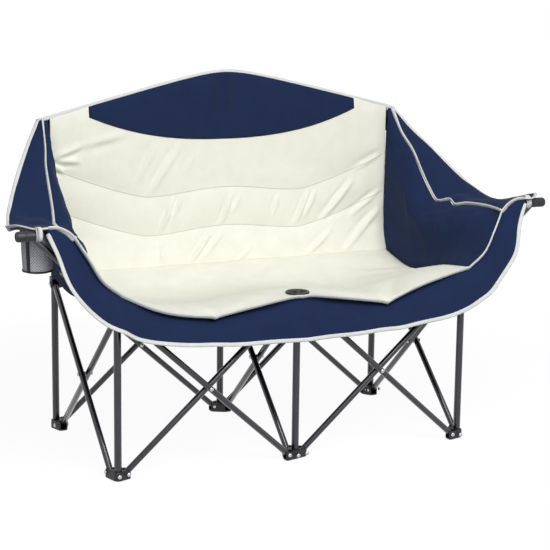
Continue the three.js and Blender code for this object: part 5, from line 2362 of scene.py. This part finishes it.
@dataclass
class Studio:
    """A plain pale floor, soft light and the camera at the photograph's angle."""

    bench: Bench
    place: tuple[float, float, float] = (-1.8804, -3.8712, 1.3604)
    azimuth: float = -25.13
    elevation: float = 11.47
    roll: float = 0.79
    focal_pixels: float = 1714.0
    frame_pixels: float = 550.0
    sensor: float = 36.0
    key: Lamp = Lamp((-0.2, -3.4, 3.6), 2.8, 184)
    fill: Lamp = Lamp((-1.2, -4.3, 1.7), 2.0, 16)
    rim: Lamp = Lamp((0.6, 3.2, 3.2), 2.6, 12)
    aim_height: float = 0.5
    sky: str = "#FBFCFF"
    sky_strength: float = 0.24
    floor_colour: str = "#909090"
    floor_size: float = 14.0
    floor_glow: float = 1.34
    fade_from: Span = (1.4, 3.0)
    fade_to: Span = (0.7, 0.8)

    def camera(self) -> None:
        """Puts the camera where the photograph was taken from."""
        az, el, roll = (math.radians(a) for a in (self.azimuth, self.elevation, self.roll))
        back = Vector((math.sin(az) * math.cos(el), -math.cos(az) * math.cos(el), math.sin(el)))
        right = UP.cross(back).normalized()
        up = back.cross(right)
        level, tip = math.cos(roll), math.sin(roll)
        axes = Matrix((right * level + up * tip, up * level - right * tip, back)).transposed()
        data = bpy.data.cameras.new("photo_camera")
        data.sensor_width = self.sensor
        data.lens = self.sensor * self.focal_pixels / self.frame_pixels
        camera = bpy.data.objects.new("photo_camera", data)
        place = Vector(self.place) + DEEP * self.bench.front
        camera.matrix_world = Matrix.Translation(place) @ axes.to_4x4()
        bpy.context.scene.collection.objects.link(camera)
        bpy.context.scene.camera = camera

    def plain_white(self, tree: NodeTree) -> Socket:
        """Says where a ray should see the plain background.

        Args:
            tree: The nodes of the floor or the world.

        Returns:
            1 for such a ray, else 0.
        """
        rays = add_node(tree, "ShaderNodeLightPath").outputs
        most = {"operation": "MAXIMUM"}
        seen = add_node(tree, "ShaderNodeMath", most, in_0=rays["Is Camera Ray"], in_1=rays["Is Glossy Ray"])
        both = add_node(tree, "ShaderNodeMath", most, in_0=seen.outputs[0], in_1=rays["Is Transmission Ray"])
        return both.outputs[0]

    def world(self) -> None:
        """Fills the scene with even light, and shows white where nothing stands."""
        world = bpy.data.worlds.new("studio")
        bpy.context.scene.world = world
        world.use_nodes = True
        tree = world.node_tree
        light = wire(tree, tree.nodes["Background"], Color=linear(self.sky), Strength=self.sky_strength)
        white = add_node(tree, "ShaderNodeBackground", Color=linear("#FFFFFF"), Strength=1.0)
        shown = add_node(tree, "ShaderNodeMixShader", in_0=self.plain_white(tree), in_1=light.outputs[0],
                         in_2=white.outputs[0])
        wire(tree, tree.nodes["World Output"], Surface=shown.outputs[0])

    def floor(self) -> None:
        """Lays a pale floor that keeps the chair's shadow and fades to plain white further off."""
        bm = bmesh.new()
        bmesh.ops.create_grid(bm, x_segments=1, y_segments=1, size=self.floor_size)
        floor = new_piece("studio_floor", bm)
        material = bpy.data.materials.new("pale_floor")
        material.use_nodes = True
        tree = material.node_tree
        matt = wire(tree, tree.nodes["Principled BSDF"], Base_Color=linear(self.floor_colour), Roughness=1.0,
                    Specular_IOR_Level=0.0)
        glow = add_node(tree, "ShaderNodeEmission", Color=linear("#FFFFFF"), Strength=self.floor_glow)
        place = add_node(tree, "ShaderNodeNewGeometry")
        away = add_node(tree, "ShaderNodeVectorMath", {"operation": "LENGTH"}, in_0=place.outputs["Position"])
        (near, far), (least, most) = self.fade_from, self.fade_to
        plain = add_node(tree, "ShaderNodeMapRange", Value=away.outputs["Value"], From_Min=near, From_Max=far,
                         To_Min=least, To_Max=most)
        seen = add_node(tree, "ShaderNodeMath", {"operation": "MULTIPLY"}, in_0=self.plain_white(tree),
                        in_1=plain.outputs[0])
        shown = add_node(tree, "ShaderNodeMixShader", in_0=seen.outputs[0], in_1=matt.outputs[0], in_2=glow.outputs[0])
        wire(tree, tree.nodes["Material Output"], Surface=shown.outputs[0])
        floor.data.materials.append(material)
        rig.stage(floor)

    def build(self) -> None:
        """Sets up camera, light, floor and plain colour."""
        self.camera()
        self.world()
        for name, lamp in (("key_lamp", self.key), ("fill_lamp", self.fill), ("rim_lamp", self.rim)):
            lamp.hang(name, UP * self.aim_height)
        self.floor()
        bpy.context.scene.view_settings.view_transform = "Standard"


def main() -> None:
    """Loads the frame, dresses it and notes the sizes of the frame and of the dressed chair."""
    logging.basicConfig(level=logging.INFO, format="%(message)s")
    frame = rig.load()
    cad_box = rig.bounds()
    bodies = {node: body for body, nodes in frame["record"]["behaviour"]["bodies"].items() for node in nodes}
    bench = Bench.measured()
    Studio(bench).build()
    bucket, folding = Bucket(bench), Folding(bench)
    tubing = Tubing(frame["nodes"], bodies)
    makers = (
        Backrest(bucket, folding.back),
        Seat(bucket, folding.front, folding.seat_rear),
        *(SideCloth(bucket, side, folding.panel(side), folding.wing(side)) for side in Side),
        Skirt(bucket, folding.front),
        BackTape(bucket, folding.back),
        CupHolder(bucket, folding.wing(Side.LEFT)),
        tubing,
        Fasteners(tubing),
        Mouldings(frame["nodes"], bodies),
        Tabs(tubing),
    )
    for piece in (piece for maker in makers for piece in maker.build()):
        LOG.info("tied %s to %s", piece.name, piece.get("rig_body"))
    sizes = {"cad": [list(corner) for corner in cad_box], "visual": [list(corner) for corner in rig.bounds()]}
    with open(SIZE_FILE, "w", encoding="utf-8") as file:
        json.dump(sizes, file)


if __name__ == "__main__":
    main()
